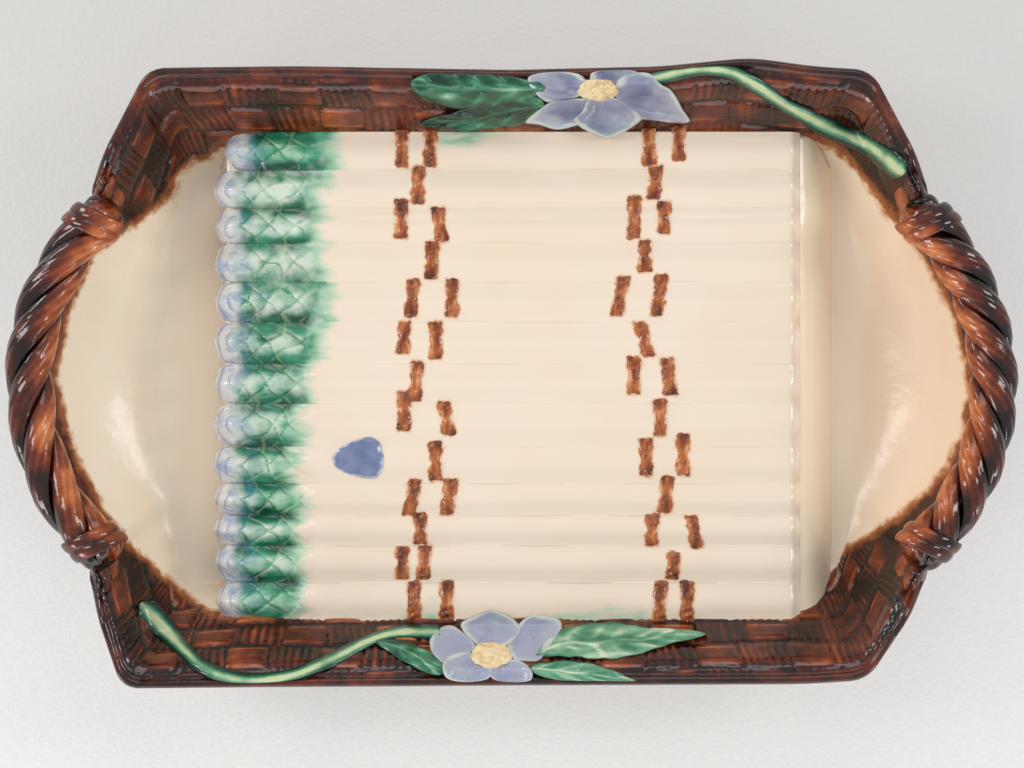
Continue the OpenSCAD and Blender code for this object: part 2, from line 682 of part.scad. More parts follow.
// Flowers: place of the centre as shares of half the length and half the width, and each
// petal's tip from there and its half breadth as shares of the petals' reach
back_flower_share = [0.172, 0.893];
back_petal_shares = [[-0.765, 0.141, 0.171], [-0.612, -0.353, 0.165], [0.206, -0.485, 0.235],
    [0.965, -0.150, 0.224], [0.188, 0.212, 0.165]];
front_flower_share = [-0.042, -0.890];
front_petal_shares = [[0.012, 0.459, 0.259], [0.729, 0.200, 0.224], [0.376, -0.294, 0.165],
    [-0.412, -0.282, 0.176], [-0.624, 0.212, 0.188]];
petal_fullness = 1.35;
module petals(place_share, petal_shares) {
    middle = place_at(place_share);
    color(lilac) for (row = petal_shares) {
        arm = [row[0], row[1]] * petal_reach;
        start = middle + arm / norm(arm) * (flower_eye + seat_gap);
        blade(start, (start + middle + arm) / 2, middle + arm, row[2] * petal_reach,
            petal_fullness, petal_crown);
    }
}
eye_steps = 6;
eye_breadth_share = 0.8;
eye_end_share = 0.3;
module flower_centre(place_share) {
    middle = place_at(place_share);
    path = [for (i = [0:eye_steps]) middle + [flower_eye * (2 * i / eye_steps - 1), 0]];
    halves = [for (i = [0:eye_steps]) let (w = 2 * i / eye_steps - 1)
        flower_eye * eye_breadth_share * mix(eye_end_share, 1, sqrt(1 - w * w))];
    color(yellow) relief(path, halves, blade_columns, leaf_edge, flower_eye_rise);
}

// Leaves: root, control point and tip as shares of half the length and half the width, then
// half breadth as a share of the widest leaf's
back_leaf_shares = [[[0.020, 0.911], [-0.080, 0.922], [-0.196, 0.936], 0.94],
    [[0.015, 0.829], [-0.080, 0.811], [-0.190, 0.837], 0.76]];
front_leaf_shares = [[[0.100, -0.877], [0.220, -0.821], [0.385, -0.829], 1.00],
    [[0.085, -0.949], [0.160, -0.953], [0.250, -0.969], 0.59],
    [[-0.165, -0.877], [-0.210, -0.877], [-0.265, -0.893], 0.65]];
leaf_fullness = 0.85;
module leaves(shares) {
    color(green) for (row = shares)
        blade(place_at(row[0]), place_at(row[1]), place_at(row[2]), row[3] * leaf_half,
            leaf_fullness, leaf_crown);
}

// Vines: places along the stem as shares of half the length and half the width
back_vine_shares = [[0.340, 0.941], [0.375, 0.962], [0.405, 0.965], [0.440, 0.953],
    [0.480, 0.917], [0.515, 0.869], [0.550, 0.824], [0.590, 0.788], [0.635, 0.756],
    [0.685, 0.716], [0.725, 0.676], [0.755, 0.624]];
front_vine_shares = [[-0.705, -0.732], [-0.665, -0.813], [-0.635, -0.885], [-0.590, -0.941],
    [-0.545, -0.970], [-0.490, -0.975], [-0.430, -0.965], [-0.375, -0.933], [-0.330, -0.893],
    [-0.290, -0.853]];
vine_columns = 4;
module vine(shares) {
    path = [for (s = shares) place_at(s)];
    halves = [for (s = shares) vine_width / 2];
    color(pale_green) relief(path, halves, vine_columns, leaf_edge, vine_rise - leaf_edge);
}

// A loose petal: the stalk that it lies on, and its place along that stalk as a share
loose_petal_shares = [9, 0.0856];
petal_wave_share = 0.04;
module loose_petal() {
    i = loose_petal_shares[0] - 1;
    r = crown_radius(i) + tie_gap;
    x = mix(tip_joint, deck_cut_side, loose_petal_shares[1]);
    half = min(loose_petal_half, stalk_breadth(i) / 2 - seat_gap);
    color(lilac) translate([x, stalk_middle(i), deck_height]) intersection() {
        rotate([90, 0, 90]) translate([0, crown_middle(i), -loose_petal_length / 2])
            linear_extrude(loose_petal_length) difference() {
                circle(r + tie_thickness, $fn = 96);
                circle(r, $fn = 96);
            }
        translate([0, 0, stalk_side]) linear_extrude(2 * stalk_crown)
            scale(half) polygon([for (a = [0:20:340])
                [loose_petal_length / 2 / half * cos(a) * (1 + petal_wave_share * cos(3 * a)), sin(a)]]);
    }
}

dish_shell();
foot_ring();
stalk_deck();
stalk(0);  // stalk_01
stalk(1);  // stalk_02
stalk(2);  // stalk_03
stalk(3);  // stalk_04
stalk(4);  // stalk_05
stalk(5);  // stalk_06
stalk(6);  // stalk_07
stalk(7);  // stalk_08
stalk(8);  // stalk_09
stalk(9);  // stalk_10
stalk(10);  // stalk_11
stalk(11);  // stalk_12
stalk(12);  // stalk_13
tip(0);  // tip_01
tip(1);  // tip_02
tip(2);  // tip_03
tip(3);  // tip_04
tip(4);  // tip_05
tip(5);  // tip_06
tip(6);  // tip_07
tip(7);  // tip_08
tip(8);  // tip_09
tip(9);  // tip_10
tip(10);  // tip_11
tip(11);  // tip_12
tip(12);  // tip_13
strand(-1, left_turn, 0);  // left_rope_strand_1
strand(-1, left_turn, 1);  // left_rope_strand_2
strand(-1, left_turn, 2);  // left_rope_strand_3
strand(1, right_turn, 0);  // right_rope_strand_1
strand(1, right_turn, 1);  // right_rope_strand_2
strand(1, right_turn, 2);  // right_rope_strand_3
binding(-1, 1);  // left_back_binding
binding(-1, -1);  // left_front_binding
binding(1, 1);  // right_back_binding
binding(1, -1);  // right_front_binding
back_lip();
front_lip();
back_weave();
front_weave();
left_back_weave();
right_back_weave();
left_front_weave();
right_front_weave();
left_ties();
right_ties();
petals(back_flower_share, back_petal_shares);  // back_flower_petals
flower_centre(back_flower_share);  // back_flower_centre
petals(front_flower_share, front_petal_shares);  // front_flower_petals
flower_centre(front_flower_share);  // front_flower_centre
leaves(back_leaf_shares);  // back_leaves
leaves(front_leaf_shares);  // front_leaves
vine(back_vine_shares);  // back_vine
vine(front_vine_shares);  // front_vine
loose_petal();
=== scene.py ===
"""Asparagus platter in glazed earthenware: a basket with rope handles, a bed of moulded
stalks, and flowers with leaves and vines on its edges. Forms are worked out in millimetres."""

import math

import bpy
import numpy as np
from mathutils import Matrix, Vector


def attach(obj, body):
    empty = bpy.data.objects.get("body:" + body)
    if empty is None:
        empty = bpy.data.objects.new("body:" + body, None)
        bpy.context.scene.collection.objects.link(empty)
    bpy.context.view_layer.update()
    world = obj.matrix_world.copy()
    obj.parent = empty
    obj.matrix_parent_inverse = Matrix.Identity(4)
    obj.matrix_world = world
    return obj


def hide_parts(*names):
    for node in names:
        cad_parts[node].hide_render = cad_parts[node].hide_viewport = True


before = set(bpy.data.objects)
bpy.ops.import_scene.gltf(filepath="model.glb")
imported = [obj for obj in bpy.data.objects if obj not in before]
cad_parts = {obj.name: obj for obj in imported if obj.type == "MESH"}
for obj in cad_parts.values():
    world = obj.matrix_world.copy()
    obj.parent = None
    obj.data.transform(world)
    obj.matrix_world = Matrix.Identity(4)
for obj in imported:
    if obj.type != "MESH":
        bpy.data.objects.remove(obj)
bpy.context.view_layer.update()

MM = 0.001

# Sizes of the CAD part
HALF_LENGTH = 200.0
HALF_WIDTH = 124.25
EDGE_HEIGHT = 56.0
WALL = 6.0
EDGE_WIDTH = 7.0
FOOT_HEIGHT = 5.0
FLOOR_HEIGHT = FOOT_HEIGHT + WALL
FLOOR_REACH = 146.0
FLOOR_BOW = 8.0
FLOOR_END_HALF = 46.0
ROPE_RADIUS = 10.0
ROPE_HEIGHT = 55.0
ROPE_BULGE = 29.0
ROPE_HALF_SPAN = 66.0
ROPE_SHIFT = 3.7
SEAT_HEIGHT = ROPE_HEIGHT - ROPE_RADIUS - 0.3
ROPE_BOWL_POWER = 1.9
ROPE_TURNS = {"right": 57.0, "left": 78.0}
STRAND_GROOVE = 3.0
ROPE_END = 6.5
BINDING_LENGTH = 12.0
DECK_HEIGHT = 27.0
DECK_CUT_SIDE = 116.0
STALK_TOP = 33.2
STALK_SHARES = [1.01, 1.01, 0.93, 1.03, 1.06, 1.11, 1.06, 1.14, 0.98, 0.85, 0.80, 0.98, 1.04]
RECESS_SHARE = 0.76

# The ropes' arc, and how far the outline's corners are rounded
ARC_RADIUS = (ROPE_BULGE ** 2 + ROPE_HALF_SPAN ** 2) / (2 * ROPE_BULGE)
ARC_MIDDLE = HALF_LENGTH - ROPE_RADIUS - ARC_RADIUS
ARC_ANGLE = math.asin(ROPE_HALF_SPAN / ARC_RADIUS)
ARC_STEPS = 12
CORNER_BLUR = 3.0
BOWL_BLUR = 4.0

# Rows of the outline: the edge's x and y and the floor's x and y as shares of the half sizes,
# the power of the wall's slope, and 1 where the wall is as low as the ropes' seat
BACK_OUTLINE = [
    [0.838, 0.556, 0.700, 0.400, 1.7, 1], [0.822, 0.612, 0.697, 0.440, 1.6, 1],
    [0.799, 0.690, 0.690, 0.510, 1.5, 0], [0.709, 0.961, 0.668, 0.700, 1.2, 0],
    [0.600, 0.972, 0.560, 0.690, 1.0, 0], [0.469, 1.000, 0.430, 0.690, 1.0, 0],
    [0.290, 0.972, 0.270, 0.690, 1.0, 0], [0.000, 0.961, 0.000, 0.690, 1.0, 0],
    [-0.416, 0.973, -0.390, 0.690, 1.0, 0], [-0.600, 0.970, -0.560, 0.690, 1.0, 0],
    [-0.717, 0.967, -0.657, 0.700, 1.2, 0], [-0.806, 0.690, -0.690, 0.510, 1.5, 0],
    [-0.829, 0.612, -0.697, 0.440, 1.6, 1], [-0.844, 0.556, -0.700, 0.400, 1.7, 1]]
FRONT_OUTLINE = [
    [-0.848, -0.616, -0.700, -0.420, 1.7, 1], [-0.835, -0.675, -0.697, -0.470, 1.6, 1],
    [-0.818, -0.760, -0.690, -0.550, 1.5, 0], [-0.768, -1.000, -0.668, -0.700, 1.2, 0],
    [-0.600, -0.997, -0.560, -0.690, 1.0, 0], [0.000, -0.990, 0.000, -0.690, 1.0, 0],
    [0.580, -0.986, 0.540, -0.690, 1.0, 0], [0.701, -0.973, 0.668, -0.700, 1.2, 0],
    [0.790, -0.760, 0.690, -0.550, 1.5, 0], [0.817, -0.675, 0.697, -0.470, 1.6, 1],
    [0.838, -0.616, 0.700, -0.420, 1.7, 1]]

# The photograph's frame
# The drawing below is given in its pixels, and laid on the form at each place's own height.
VIEW_MIDDLE = (0.2, -4.3)
VIEW_PIXELS = (512.0, 384.0)
RIM_SCALE = 0.3933
RIM_LEVEL = 57.0
CAMERA_ABOVE_RIM = 1030.0
CAMERA_HEIGHT = RIM_LEVEL + CAMERA_ABOVE_RIM


def scale_at(z):
    """Millimetres per pixel at a height."""
    return RIM_SCALE * (CAMERA_HEIGHT - z) / CAMERA_ABOVE_RIM


def to_pixels(points):
    """The pixels of the photograph that show places."""
    k = scale_at(points[..., 2])
    return (VIEW_PIXELS[0] + (points[..., 0] - VIEW_MIDDLE[0]) / k,
            VIEW_PIXELS[1] - (points[..., 1] - VIEW_MIDDLE[1]) / k)


def place_at(px, py, z):
    """Where a pixel lies in plan, at a height."""
    k = scale_at(z)
    return VIEW_MIDDLE[0] + (px - VIEW_PIXELS[0]) * k, VIEW_MIDDLE[1] - (py - VIEW_PIXELS[1]) * k


# Small helpers
def mix(a, b, t):
    return a + (b - a) * t


def ease(low, high, x):
    t = np.clip((x - low) / (high - low), 0, 1)
    return t * t * (3 - 2 * t)


def bell(x, width):
    return np.exp(-(x / width) ** 2)


def xyz(x, y, z):
    return np.stack(np.broadcast_arrays(x, y, z), axis=-1)


def wobble(x, y, size, seed):
    """Smooth irregularity from about -1 to 1, with features of the given size."""
    draw = np.random.default_rng(seed)
    total = 0
    for _ in range(7):
        angle, phase = draw.uniform(0, 2 * math.pi, 2)
        wave = 2 * math.pi / (size * draw.uniform(0.7, 1.9))
        total = total + np.sin((x * math.cos(angle) + y * math.sin(angle)) * wave + phase)
    return total / 3


def smooth_line(points, count):
    """A smooth curve through points, evenly spaced."""
    p = np.array(points, float)
    ends = np.vstack([2 * p[0] - p[1], p, 2 * p[-1] - p[-2]])
    t = np.linspace(0, 1, 24, endpoint=False)[:, None]
    parts = []
    for a, b, c, d in zip(ends[:-3], ends[1:-2], ends[2:-1], ends[3:]):
        parts.append(0.5 * (2 * b + (c - a) * t + (2 * a - 5 * b + 4 * c - d) * t ** 2
                            + (3 * b - a - 3 * c + d) * t ** 3))
    line = np.vstack(parts + [p[-1:]])
    way = np.concatenate([[0], np.cumsum(np.linalg.norm(np.diff(line, axis=0), axis=1))])
    at = np.linspace(0, way[-1], count)
    return np.stack([np.interp(at, way, line[:, k]) for k in range(line.shape[1])], axis=1)


def side_of(line):
    """Unit vectors to the side of a line, at each of its points."""
    way = np.gradient(line, axis=0)
    way /= np.linalg.norm(way, axis=1)[:, None]
    return np.stack([-way[:, 1], way[:, 0]], axis=1)


# The dish's surface
def rope_rows(side, shares):
    """Rows of the outline along one rope, by shares from -1 to 1 of its half arc."""
    angle = shares * ARC_ANGLE
    r = ARC_RADIUS + EDGE_WIDTH / 2
    one = np.ones_like(shares)
    return np.stack([side * (ARC_MIDDLE + r * np.cos(angle)), r * np.sin(angle) - ROPE_SHIFT,
                     side * (FLOOR_REACH - FLOOR_BOW * shares ** 2),
                     shares * FLOOR_END_HALF - ROPE_SHIFT, one * ROPE_BOWL_POWER, one], axis=1)


SIZES = np.array([HALF_LENGTH, HALF_WIDTH, HALF_LENGTH, HALF_WIDTH, 1, 1])
ARC_SHARES = np.linspace(-1, 1, ARC_STEPS + 1)
OUTLINE = np.vstack([rope_rows(1, ARC_SHARES), np.array(BACK_OUTLINE) * SIZES,
                     rope_rows(-1, -ARC_SHARES), np.array(FRONT_OUTLINE) * SIZES])
CLOSED = np.vstack([OUTLINE, OUTLINE[:1]])
WAY = np.concatenate([[0], np.cumsum(np.linalg.norm(np.diff(CLOSED[:, :2], axis=0), axis=1))])
GIRTH = WAY[-1]
RING_COUNT = 1440
RING_STEP = GIRTH / RING_COUNT
EDGE_SOFTNESS = 0.05
ROW_GAP_LIMIT = 20.0
EDGE_MARGIN = 1.2
EDGE_DRAW = 2.8
LAY_START = 45.0


def raw_rows(distance):
    """Rows of the outline at distances along its edge."""
    d = np.mod(distance, GIRTH)
    return np.stack([np.interp(d, WAY, CLOSED[:, k]) for k in range(6)], axis=-1)


def blurred_rows(distance):
    """The edge keeps its crisp corners, while the bowl below it is rounder."""
    rows = sum(raw_rows(distance + k * CORNER_BLUR) for k in (-2, -1, 0, 1, 2)) / 5
    bowl = sum(raw_rows(distance + k * BOWL_BLUR) for k in range(-4, 5)) / 9
    rows[..., 2:5] = bowl[..., 2:5]
    return rows


RING = blurred_rows(np.arange(RING_COUNT) * RING_STEP)


def rows_at(distance):
    f = np.mod(distance, GIRTH) / RING_STEP
    i = np.floor(f).astype(int)
    t = (f - i)[..., None]
    return RING[i % RING_COUNT] * (1 - t) + RING[(i + 1) % RING_COUNT] * t


def inner_face(rows, inward):
    """A point of the smooth inner face, by its distance inward from the outer edge."""
    edge, foot = rows[..., 0:2], rows[..., 2:4]
    reach = np.linalg.norm(foot - edge, axis=-1)
    fall = (inward - EDGE_WIDTH) / (reach - EDGE_WIDTH)
    fall = 0.5 * (fall + np.sqrt(fall ** 2 + EDGE_SOFTNESS ** 2))
    rise = np.clip(1 - fall, 0, 1)
    top = mix(EDGE_HEIGHT, SEAT_HEIGHT, rows[..., 5])
    z = FLOOR_HEIGHT + (top - FLOOR_HEIGHT) * rise ** rows[..., 4]
    spot = edge + (foot - edge) * (inward / reach)[..., None]
    return xyz(spot[..., 0], spot[..., 1], z)


def edge_place(x, y):
    """Distance along the edge and inward of places in plan, and the way inward there. Each
    place lies between the first two rows of the ring that have it on different sides."""
    rows = RING[::2]
    edge, foot = rows[:, 0:2], rows[:, 2:4]
    way = foot - edge
    long = np.linalg.norm(way, axis=1)
    a = (way[:, 0] * (y[:, None] - edge[:, 1]) - way[:, 1] * (x[:, None] - edge[:, 0])) / long
    b = np.roll(a, -1, axis=1)
    past = way[:, 0] * (x[:, None] - foot[:, 0]) + way[:, 1] * (y[:, None] - foot[:, 1])
    found = (a * b <= 0) & (np.abs(a) + np.abs(b) < ROW_GAP_LIMIT) & (past <= long * WALL)
    i = np.argmax(found, axis=1)
    k = np.arange(len(x))
    t = a[k, i] / (a[k, i] - b[k, i] + 1e-12)
    distance = (i + t) * 2 * RING_STEP
    row = rows_at(distance)
    way = row[:, 2:4] - row[:, 0:2]
    way /= np.linalg.norm(way, axis=1)[:, None]
    return distance, (x - row[:, 0]) * way[:, 0] + (y - row[:, 1]) * way[:, 1], way


def kept_inside(x, y):
    """Places beyond the edge or close to it, drawn in so that all lie within it."""
    _, inward, way = edge_place(x, y)
    free = EDGE_MARGIN + EDGE_DRAW
    near = EDGE_MARGIN + EDGE_DRAW * np.exp((np.minimum(inward, free) - free) / EDGE_DRAW)
    shift = np.where(inward < free, near, inward) - inward
    return x + way[:, 0] * shift, y + way[:, 1] * shift


def ground(x, y):
    """Height of the inner face, or of the stalks where those stand higher."""
    distance, inward, _ = edge_place(x, y)
    z = inner_face(rows_at(distance), inward)[..., 2]
    return np.maximum(z, STALK_TOP)


def lay(px, py, lift):
    """Places on the form under the photograph's pixels, lifted by millimetres."""
    shape = px.shape
    px, py = px.ravel(), py.ravel()
    lift = np.broadcast_to(lift, shape).ravel()
    z = np.full(px.shape, LAY_START)
    for _ in range(6):
        x, y = place_at(px, py, z)
        z = mix(z, ground(x, y) + lift, 0.8)
    x, y = kept_inside(x, y)
    return xyz(x, y, ground(x, y) + lift).reshape(shape + (3,))


# Meshes
def grid_faces(n, m, closed_n=False, closed_m=False, turned=False):
    """Faces between n rows of m points. turned makes them look to the other side."""
    i = np.arange(n if closed_n else n - 1)[:, None]
    j = np.arange(m if closed_m else m - 1)[None, :]
    i2, j2 = (i + 1) % n, (j + 1) % m
    quads = np.stack([i * m + j, i2 * m + j, i2 * m + j2, i * m + j2], axis=-1).reshape(-1, 4)
    return quads[:, ::-1] if turned else quads


def add_object(name, data):
    thing = bpy.data.objects.new(name, data)
    bpy.context.scene.collection.objects.link(thing)
    return thing


class Form:
    """Points, faces and painted values that become one mesh."""

    def __init__(self):
        self.points, self.faces, self.paint, self.count = [], [], {}, 0

    def add(self, points, faces, caps=(), **paint):
        for key, value in paint.items():
            values = np.broadcast_to(value, points.shape[:-1]).reshape(-1)
            self.paint.setdefault(key, []).append(values)
        self.points.append(points.reshape(-1, 3))
        self.faces += (faces + self.count).tolist() + [[v + self.count for v in cap] for cap in caps]
        self.count += len(self.points[-1])

    def slab(self, top, bottom, below=None, **paint):
        """A closed body between two grids of points. The bottom repeats the top's paint, apart
        from the values that below gives."""
        n, m = top.shape[:2]
        i, j = np.arange(n), np.arange(m)
        rim = np.concatenate([j[:-1], i[:-1] * m + m - 1, (n - 1) * m + j[:0:-1], i[:0:-1] * m])
        after = np.roll(rim, -1)
        sides = np.stack([rim, after, after + n * m, rim + n * m], axis=1)
        faces = [grid_faces(n, m), grid_faces(n, m, turned=True) + n * m, sides]
        both = {key: [np.broadcast_to(v, (n, m)), np.broadcast_to((below or {}).get(key, v), (n, m))]
                for key, v in paint.items()}
        self.add(np.stack([top, bottom]), np.concatenate(faces), **both)

    def make(self, name, slot, material, *nodes):
        """The mesh as a piece that stands for the nodes, or for the one node of its name."""
        if not nodes:
            name, nodes = name + "_form", [name]
        mesh = bpy.data.meshes.new(name)
        mesh.from_pydata((np.concatenate(self.points) * MM).tolist(), [], self.faces)
        mesh.polygons.foreach_set("use_smooth", [True] * len(mesh.polygons))
        for key, values in self.paint.items():
            layer = mesh.attributes.new(key, "FLOAT", "POINT")
            layer.data.foreach_set("value", np.concatenate(values).astype(np.float32))
        mesh.materials.append(material)
        mesh.update()
        piece = add_object(name, mesh)
        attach(piece, "root")
        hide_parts(*nodes)


def ring_normals(points):
    """Unit normals of a grid of points whose rows go round and close."""
    along = np.roll(points, -1, axis=0) - np.roll(points, 1, axis=0)
    n = np.cross(along, np.gradient(points, axis=1))
    return n / np.maximum(np.linalg.norm(n, axis=-1, keepdims=True), 1e-9)


# Shader helpers
def srgb(code):
    """A colour from its six hexadecimal digits."""
    parts = [int(code[k:k + 2], 16) / 255 for k in (0, 2, 4)]
    return tuple(c / 12.92 if c <= 0.04045 else ((c + 0.055) / 1.055) ** 2.4 for c in parts) + (1.0,)


class Flow:
    """A value that flows from a node, and can be added to and multiplied."""

    def __init__(self, shader, socket):
        self.shader, self.socket = shader, socket

    def __add__(self, other):
        return self.shader.math("ADD", self, other)

    def __mul__(self, other):
        return self.shader.math("MULTIPLY", self, other)


class Shader:
    """A material with a glaze shader, and short calls for the nodes that feed it."""

    def __init__(self, name, roughness=0.12, ior=1.55):
        self.material = bpy.data.materials.new(name)
        self.material.use_nodes = True
        self.tree = self.material.node_tree
        self.bsdf = self.tree.nodes["Principled BSDF"]
        self.feed(self.bsdf.inputs["Roughness"], roughness)
        self.feed(self.bsdf.inputs["IOR"], ior)
        self.place = self.node("ShaderNodeTexCoord").outputs["Object"]

    def node(self, kind, feeds=None, **settings):
        n = self.tree.nodes.new(kind)
        for key, value in settings.items():
            setattr(n, key, value)
        for key, value in (feeds or {}).items():
            self.feed(n.inputs[key], value)
        return n

    def feed(self, socket, value):
        value = getattr(value, "socket", value)
        if isinstance(value, bpy.types.NodeSocket):
            self.tree.links.new(value, socket)
        else:
            socket.default_value = srgb(value) if isinstance(value, str) else value

    def value(self, name):
        return Flow(self, self.node("ShaderNodeAttribute", attribute_name=name).outputs["Fac"])

    def math(self, operation, a, b):
        return Flow(self, self.node("ShaderNodeMath", {0: a, 1: b}, operation=operation).outputs[0])

    def span(self, value, low, high):
        """0 below low and 1 above high, with a smooth change; low may be the greater."""
        ends = {"From Min": min(low, high), "From Max": max(low, high),
                "To Min": float(low > high), "To Max": float(low < high)}
        n = self.node("ShaderNodeMapRange", {"Value": value, **ends}, interpolation_type="SMOOTHSTEP")
        return Flow(self, n.outputs["Result"])

    def noise(self, size_mm, detail=3.0, stretch=(1, 1, 1), shift=0.0):
        """Noise from about -1 to 1 whose features have a size in millimetres."""
        m = self.node("ShaderNodeMapping", {"Vector": self.place, "Scale": stretch,
                                            "Location": (shift, shift * 0.7, shift * 0.4)})
        n = self.node("ShaderNodeTexNoise", {"Vector": m.outputs["Vector"], "Detail": detail,
                                             "Scale": 1000 / size_mm})
        return self.math("SUBTRACT", n.outputs["Fac"], 0.5) * 3.0

    def blend(self, share, a, b):
        n = self.node("ShaderNodeMix", {"Factor": share, "A": a, "B": b}, data_type="RGBA")
        return Flow(self, n.outputs["Result"])

    def ramp(self, value, *stops):
        n = self.node("ShaderNodeValToRGB", {"Fac": value})
        elements = n.color_ramp.elements
        for k, (at, colour) in enumerate(stops):
            e = elements[k] if k < 2 else elements.new(at)
            e.position = at
            e.color = srgb(colour)
        return Flow(self, n.outputs["Color"])

    def finish(self, colour, bump_mm=0.15, bump_size=9.0, strength=0.25):
        bump = self.node("ShaderNodeBump", {"Strength": strength, "Distance": bump_mm * MM,
                                            "Height": self.noise(bump_size, 2.0, shift=3.1)})
        self.feed(self.bsdf.inputs["Base Color"], colour)
        self.feed(self.bsdf.inputs["Normal"], bump.outputs["Normal"])
        return self.material


CREAM = "efddc8"
CREAM_DEEP = "ead3b9"
# The wells' cream is painted lighter than the bed's. This is painted light that stands in for the light the
# walls keep from the wells, and the left well is painted lighter than the right.
LEFT_WELL_LIT = "ffeed6"
LEFT_WELL_LIT_DEEP = "fce5c8"
RIGHT_WELL_LIT = "f2d8bc"
RIGHT_WELL_LIT_DEEP = "ecceae"
POOLED_AND_LIT = "ffefd2"
BROWN_BLACK = "100603"
BROWN_DARK = "320e05"
BROWN_MID = "62240c"
BROWN_LIGHT = "9e4c20"
ORANGE = "cc7a46"
LILAC = "64688a"
LILAC_PALE = "868ba5"
PETAL_RIM = "c6ccc2"
YELLOW_PALE = "eedeb0"


def brown_colour(s, height):
    """Brown glaze: nearly black where it has pooled, orange where it is thin on the ridges.
    height runs from 0 in the recesses to 1 on the ridges."""
    patch = s.noise(19, shift=5.0) + s.noise(5, shift=1.0) * 0.45
    return s.ramp(height + patch * 0.34, (0.08, BROWN_BLACK), (0.30, BROWN_DARK), (0.52, BROWN_MID),
                  (0.76, BROWN_LIGHT), (1.0, ORANGE))


def brown_over(s, under, edge, height):
    """Brown glaze over another colour, with a ragged bleeding edge. edge is millimetres
    inside the painted area."""
    ragged = edge + s.noise(3.6) * 1.3 + s.noise(15, 2.0, shift=2.0) * 2.0
    tinted = s.blend(s.span(ragged, -1.8, 0.3), under, "cd9668")
    body = s.blend(s.span(ragged, 0.4, 3.6), "9e582e", brown_colour(s, height))
    return s.blend(s.span(ragged, -0.3, 0.8), tinted, body)


# Basket shell
# The border of the cream glaze, as the photograph shows it
CREAM_EDGE_PIXELS = [
    (222, 146), (236, 138), (300, 137), (500, 137), (640, 137), (772, 137), (792, 138),
    (816, 142), (836, 150), (848, 163), (862, 181), (878, 200), (900, 229), (925, 265),
    (950, 310), (962, 350), (966, 395), (962, 435), (948, 466), (924, 490), (906, 506),
    (888, 522), (868, 538), (850, 547), (834, 556), (824, 566), (816, 580), (806, 598),
    (794, 612), (640, 614), (430, 614), (225, 614), (212, 611), (190, 598), (160, 573),
    (128, 542), (100, 500), (76, 452), (60, 400), (58, 365), (65, 330), (78, 288),
    (95, 255), (116, 238), (136, 226), (152, 213), (166, 202), (176, 190), (178, 178),
    (190, 166), (208, 158)]


def inside_by(px, py, outline):
    """Signed distance in pixels: how far inside a closed outline."""
    p = np.array(outline, float)
    q = np.roll(p, -1, axis=0)
    best = np.full(px.shape, 1e9)
    inside = np.zeros(px.shape, bool)
    for (ax, ay), (bx, by) in zip(p, q):
        dx, dy = bx - ax, by - ay
        t = np.clip(((px - ax) * dx + (py - ay) * dy) / (dx * dx + dy * dy), 0, 1)
        best = np.minimum(best, np.hypot(px - ax - t * dx, py - ay - t * dy))
        crosses = (ay > py) != (by > py)
        cut = ax + (py - ay) * dx / (dy if dy else 1e-9)
        inside ^= crosses & (px < cut)
    return np.where(inside, best, -best)


# The weave: a cell is a level slat and a group of uprights, and rows of them go down the wall
CELL_LENGTH = 38.0
SLAT_SHARE = 0.47
ROW_BREADTH = 8.1
WEAVE_START = -1.6
UPRIGHTS = 6
INNER_RELIEF = 1.5
OUTER_RELIEF = 1.2
LIP_RISE = 2.0
LIP_BREADTH = 3.4


def weave(along, down, seed):
    """Relief of the basket weave, 0 to 1, and how thin the glaze lies there. Level slats
    change with groups of upright strands, and rows of them change places."""
    along = along + 1.6 * wobble(along, down * 3, 60, seed)
    down = down + 0.6 * wobble(along, down * 2, 34, seed + 1)
    row = np.floor(down / ROW_BREADTH)
    across = down / ROW_BREADTH - row
    cell = along / CELL_LENGTH + 0.5 * row + 0.06 * np.sin(row * 9)
    share = cell - np.floor(cell)
    slat = share < SLAT_SHARE
    u = np.where(slat, share / SLAT_SHARE, (share - SLAT_SHARE) / (1 - SLAT_SHARE))
    v = 2 * across - 1
    ends = 1 - np.abs(2 * u - 1) ** 10
    rows = 1 - np.abs(v) ** 5
    level = ends * rows * (0.88 + 0.12 * np.cos(v * 2.4 + 0.7))
    ridge = bell(np.abs(v) - 0.64, 0.10) + 0.7 * bell(np.abs(2 * u - 1) - 0.93, 0.05)
    level_glow = 0.08 + ends * rows * np.clip(0.44 + 0.42 * ridge + 0.06 * np.cos(v * 19), 0, 1)
    uneven = 0.5 * wobble(along, down * 0.3, 11, seed + 2)
    wave = np.abs(np.sin(math.pi * UPRIGHTS * u + 0.4 * np.sin(v * 2) + uneven))
    upright = (0.34 + 0.40 * wave ** 0.8) * (1 - 0.6 * np.abs(v) ** 4)
    strength = np.clip(0.62 + 0.4 * wobble(along, down, 16, seed + 3), 0.1, 1.1)
    upright_glow = 0.16 + 0.52 * strength * wave ** 2 * (1 - np.abs(v) ** 6)
    return np.where(slat, level, upright), np.where(slat, level_glow, upright_glow)


def into_brown(points):
    """How far places lie beyond the border of the cream glaze, in millimetres."""
    return -inside_by(*to_pixels(points), CREAM_EDGE_PIXELS) * RIM_SCALE


def shell_material():
    s = Shader("basket_glaze")
    brown = s.value("brown")
    streaks = s.span(s.noise(20, 2.0, stretch=(1.2, 0.16, 1), shift=7.0), -0.7, 0.9) * 0.8
    # Painted light: the lighter well creams, one for each side, chosen through the right value.
    left = s.blend(streaks, LEFT_WELL_LIT, LEFT_WELL_LIT_DEEP)
    right = s.blend(streaks, RIGHT_WELL_LIT, RIGHT_WELL_LIT_DEEP)
    colour = brown_over(s, s.blend(s.value("right"), left, right), brown, s.value("height"))
    s.feed(s.bsdf.inputs["Roughness"], s.span(brown, 2.0, -1.0) * 0.12 + 0.15)
    return s.finish(colour, bump_mm=0.35, bump_size=7.0, strength=0.35)


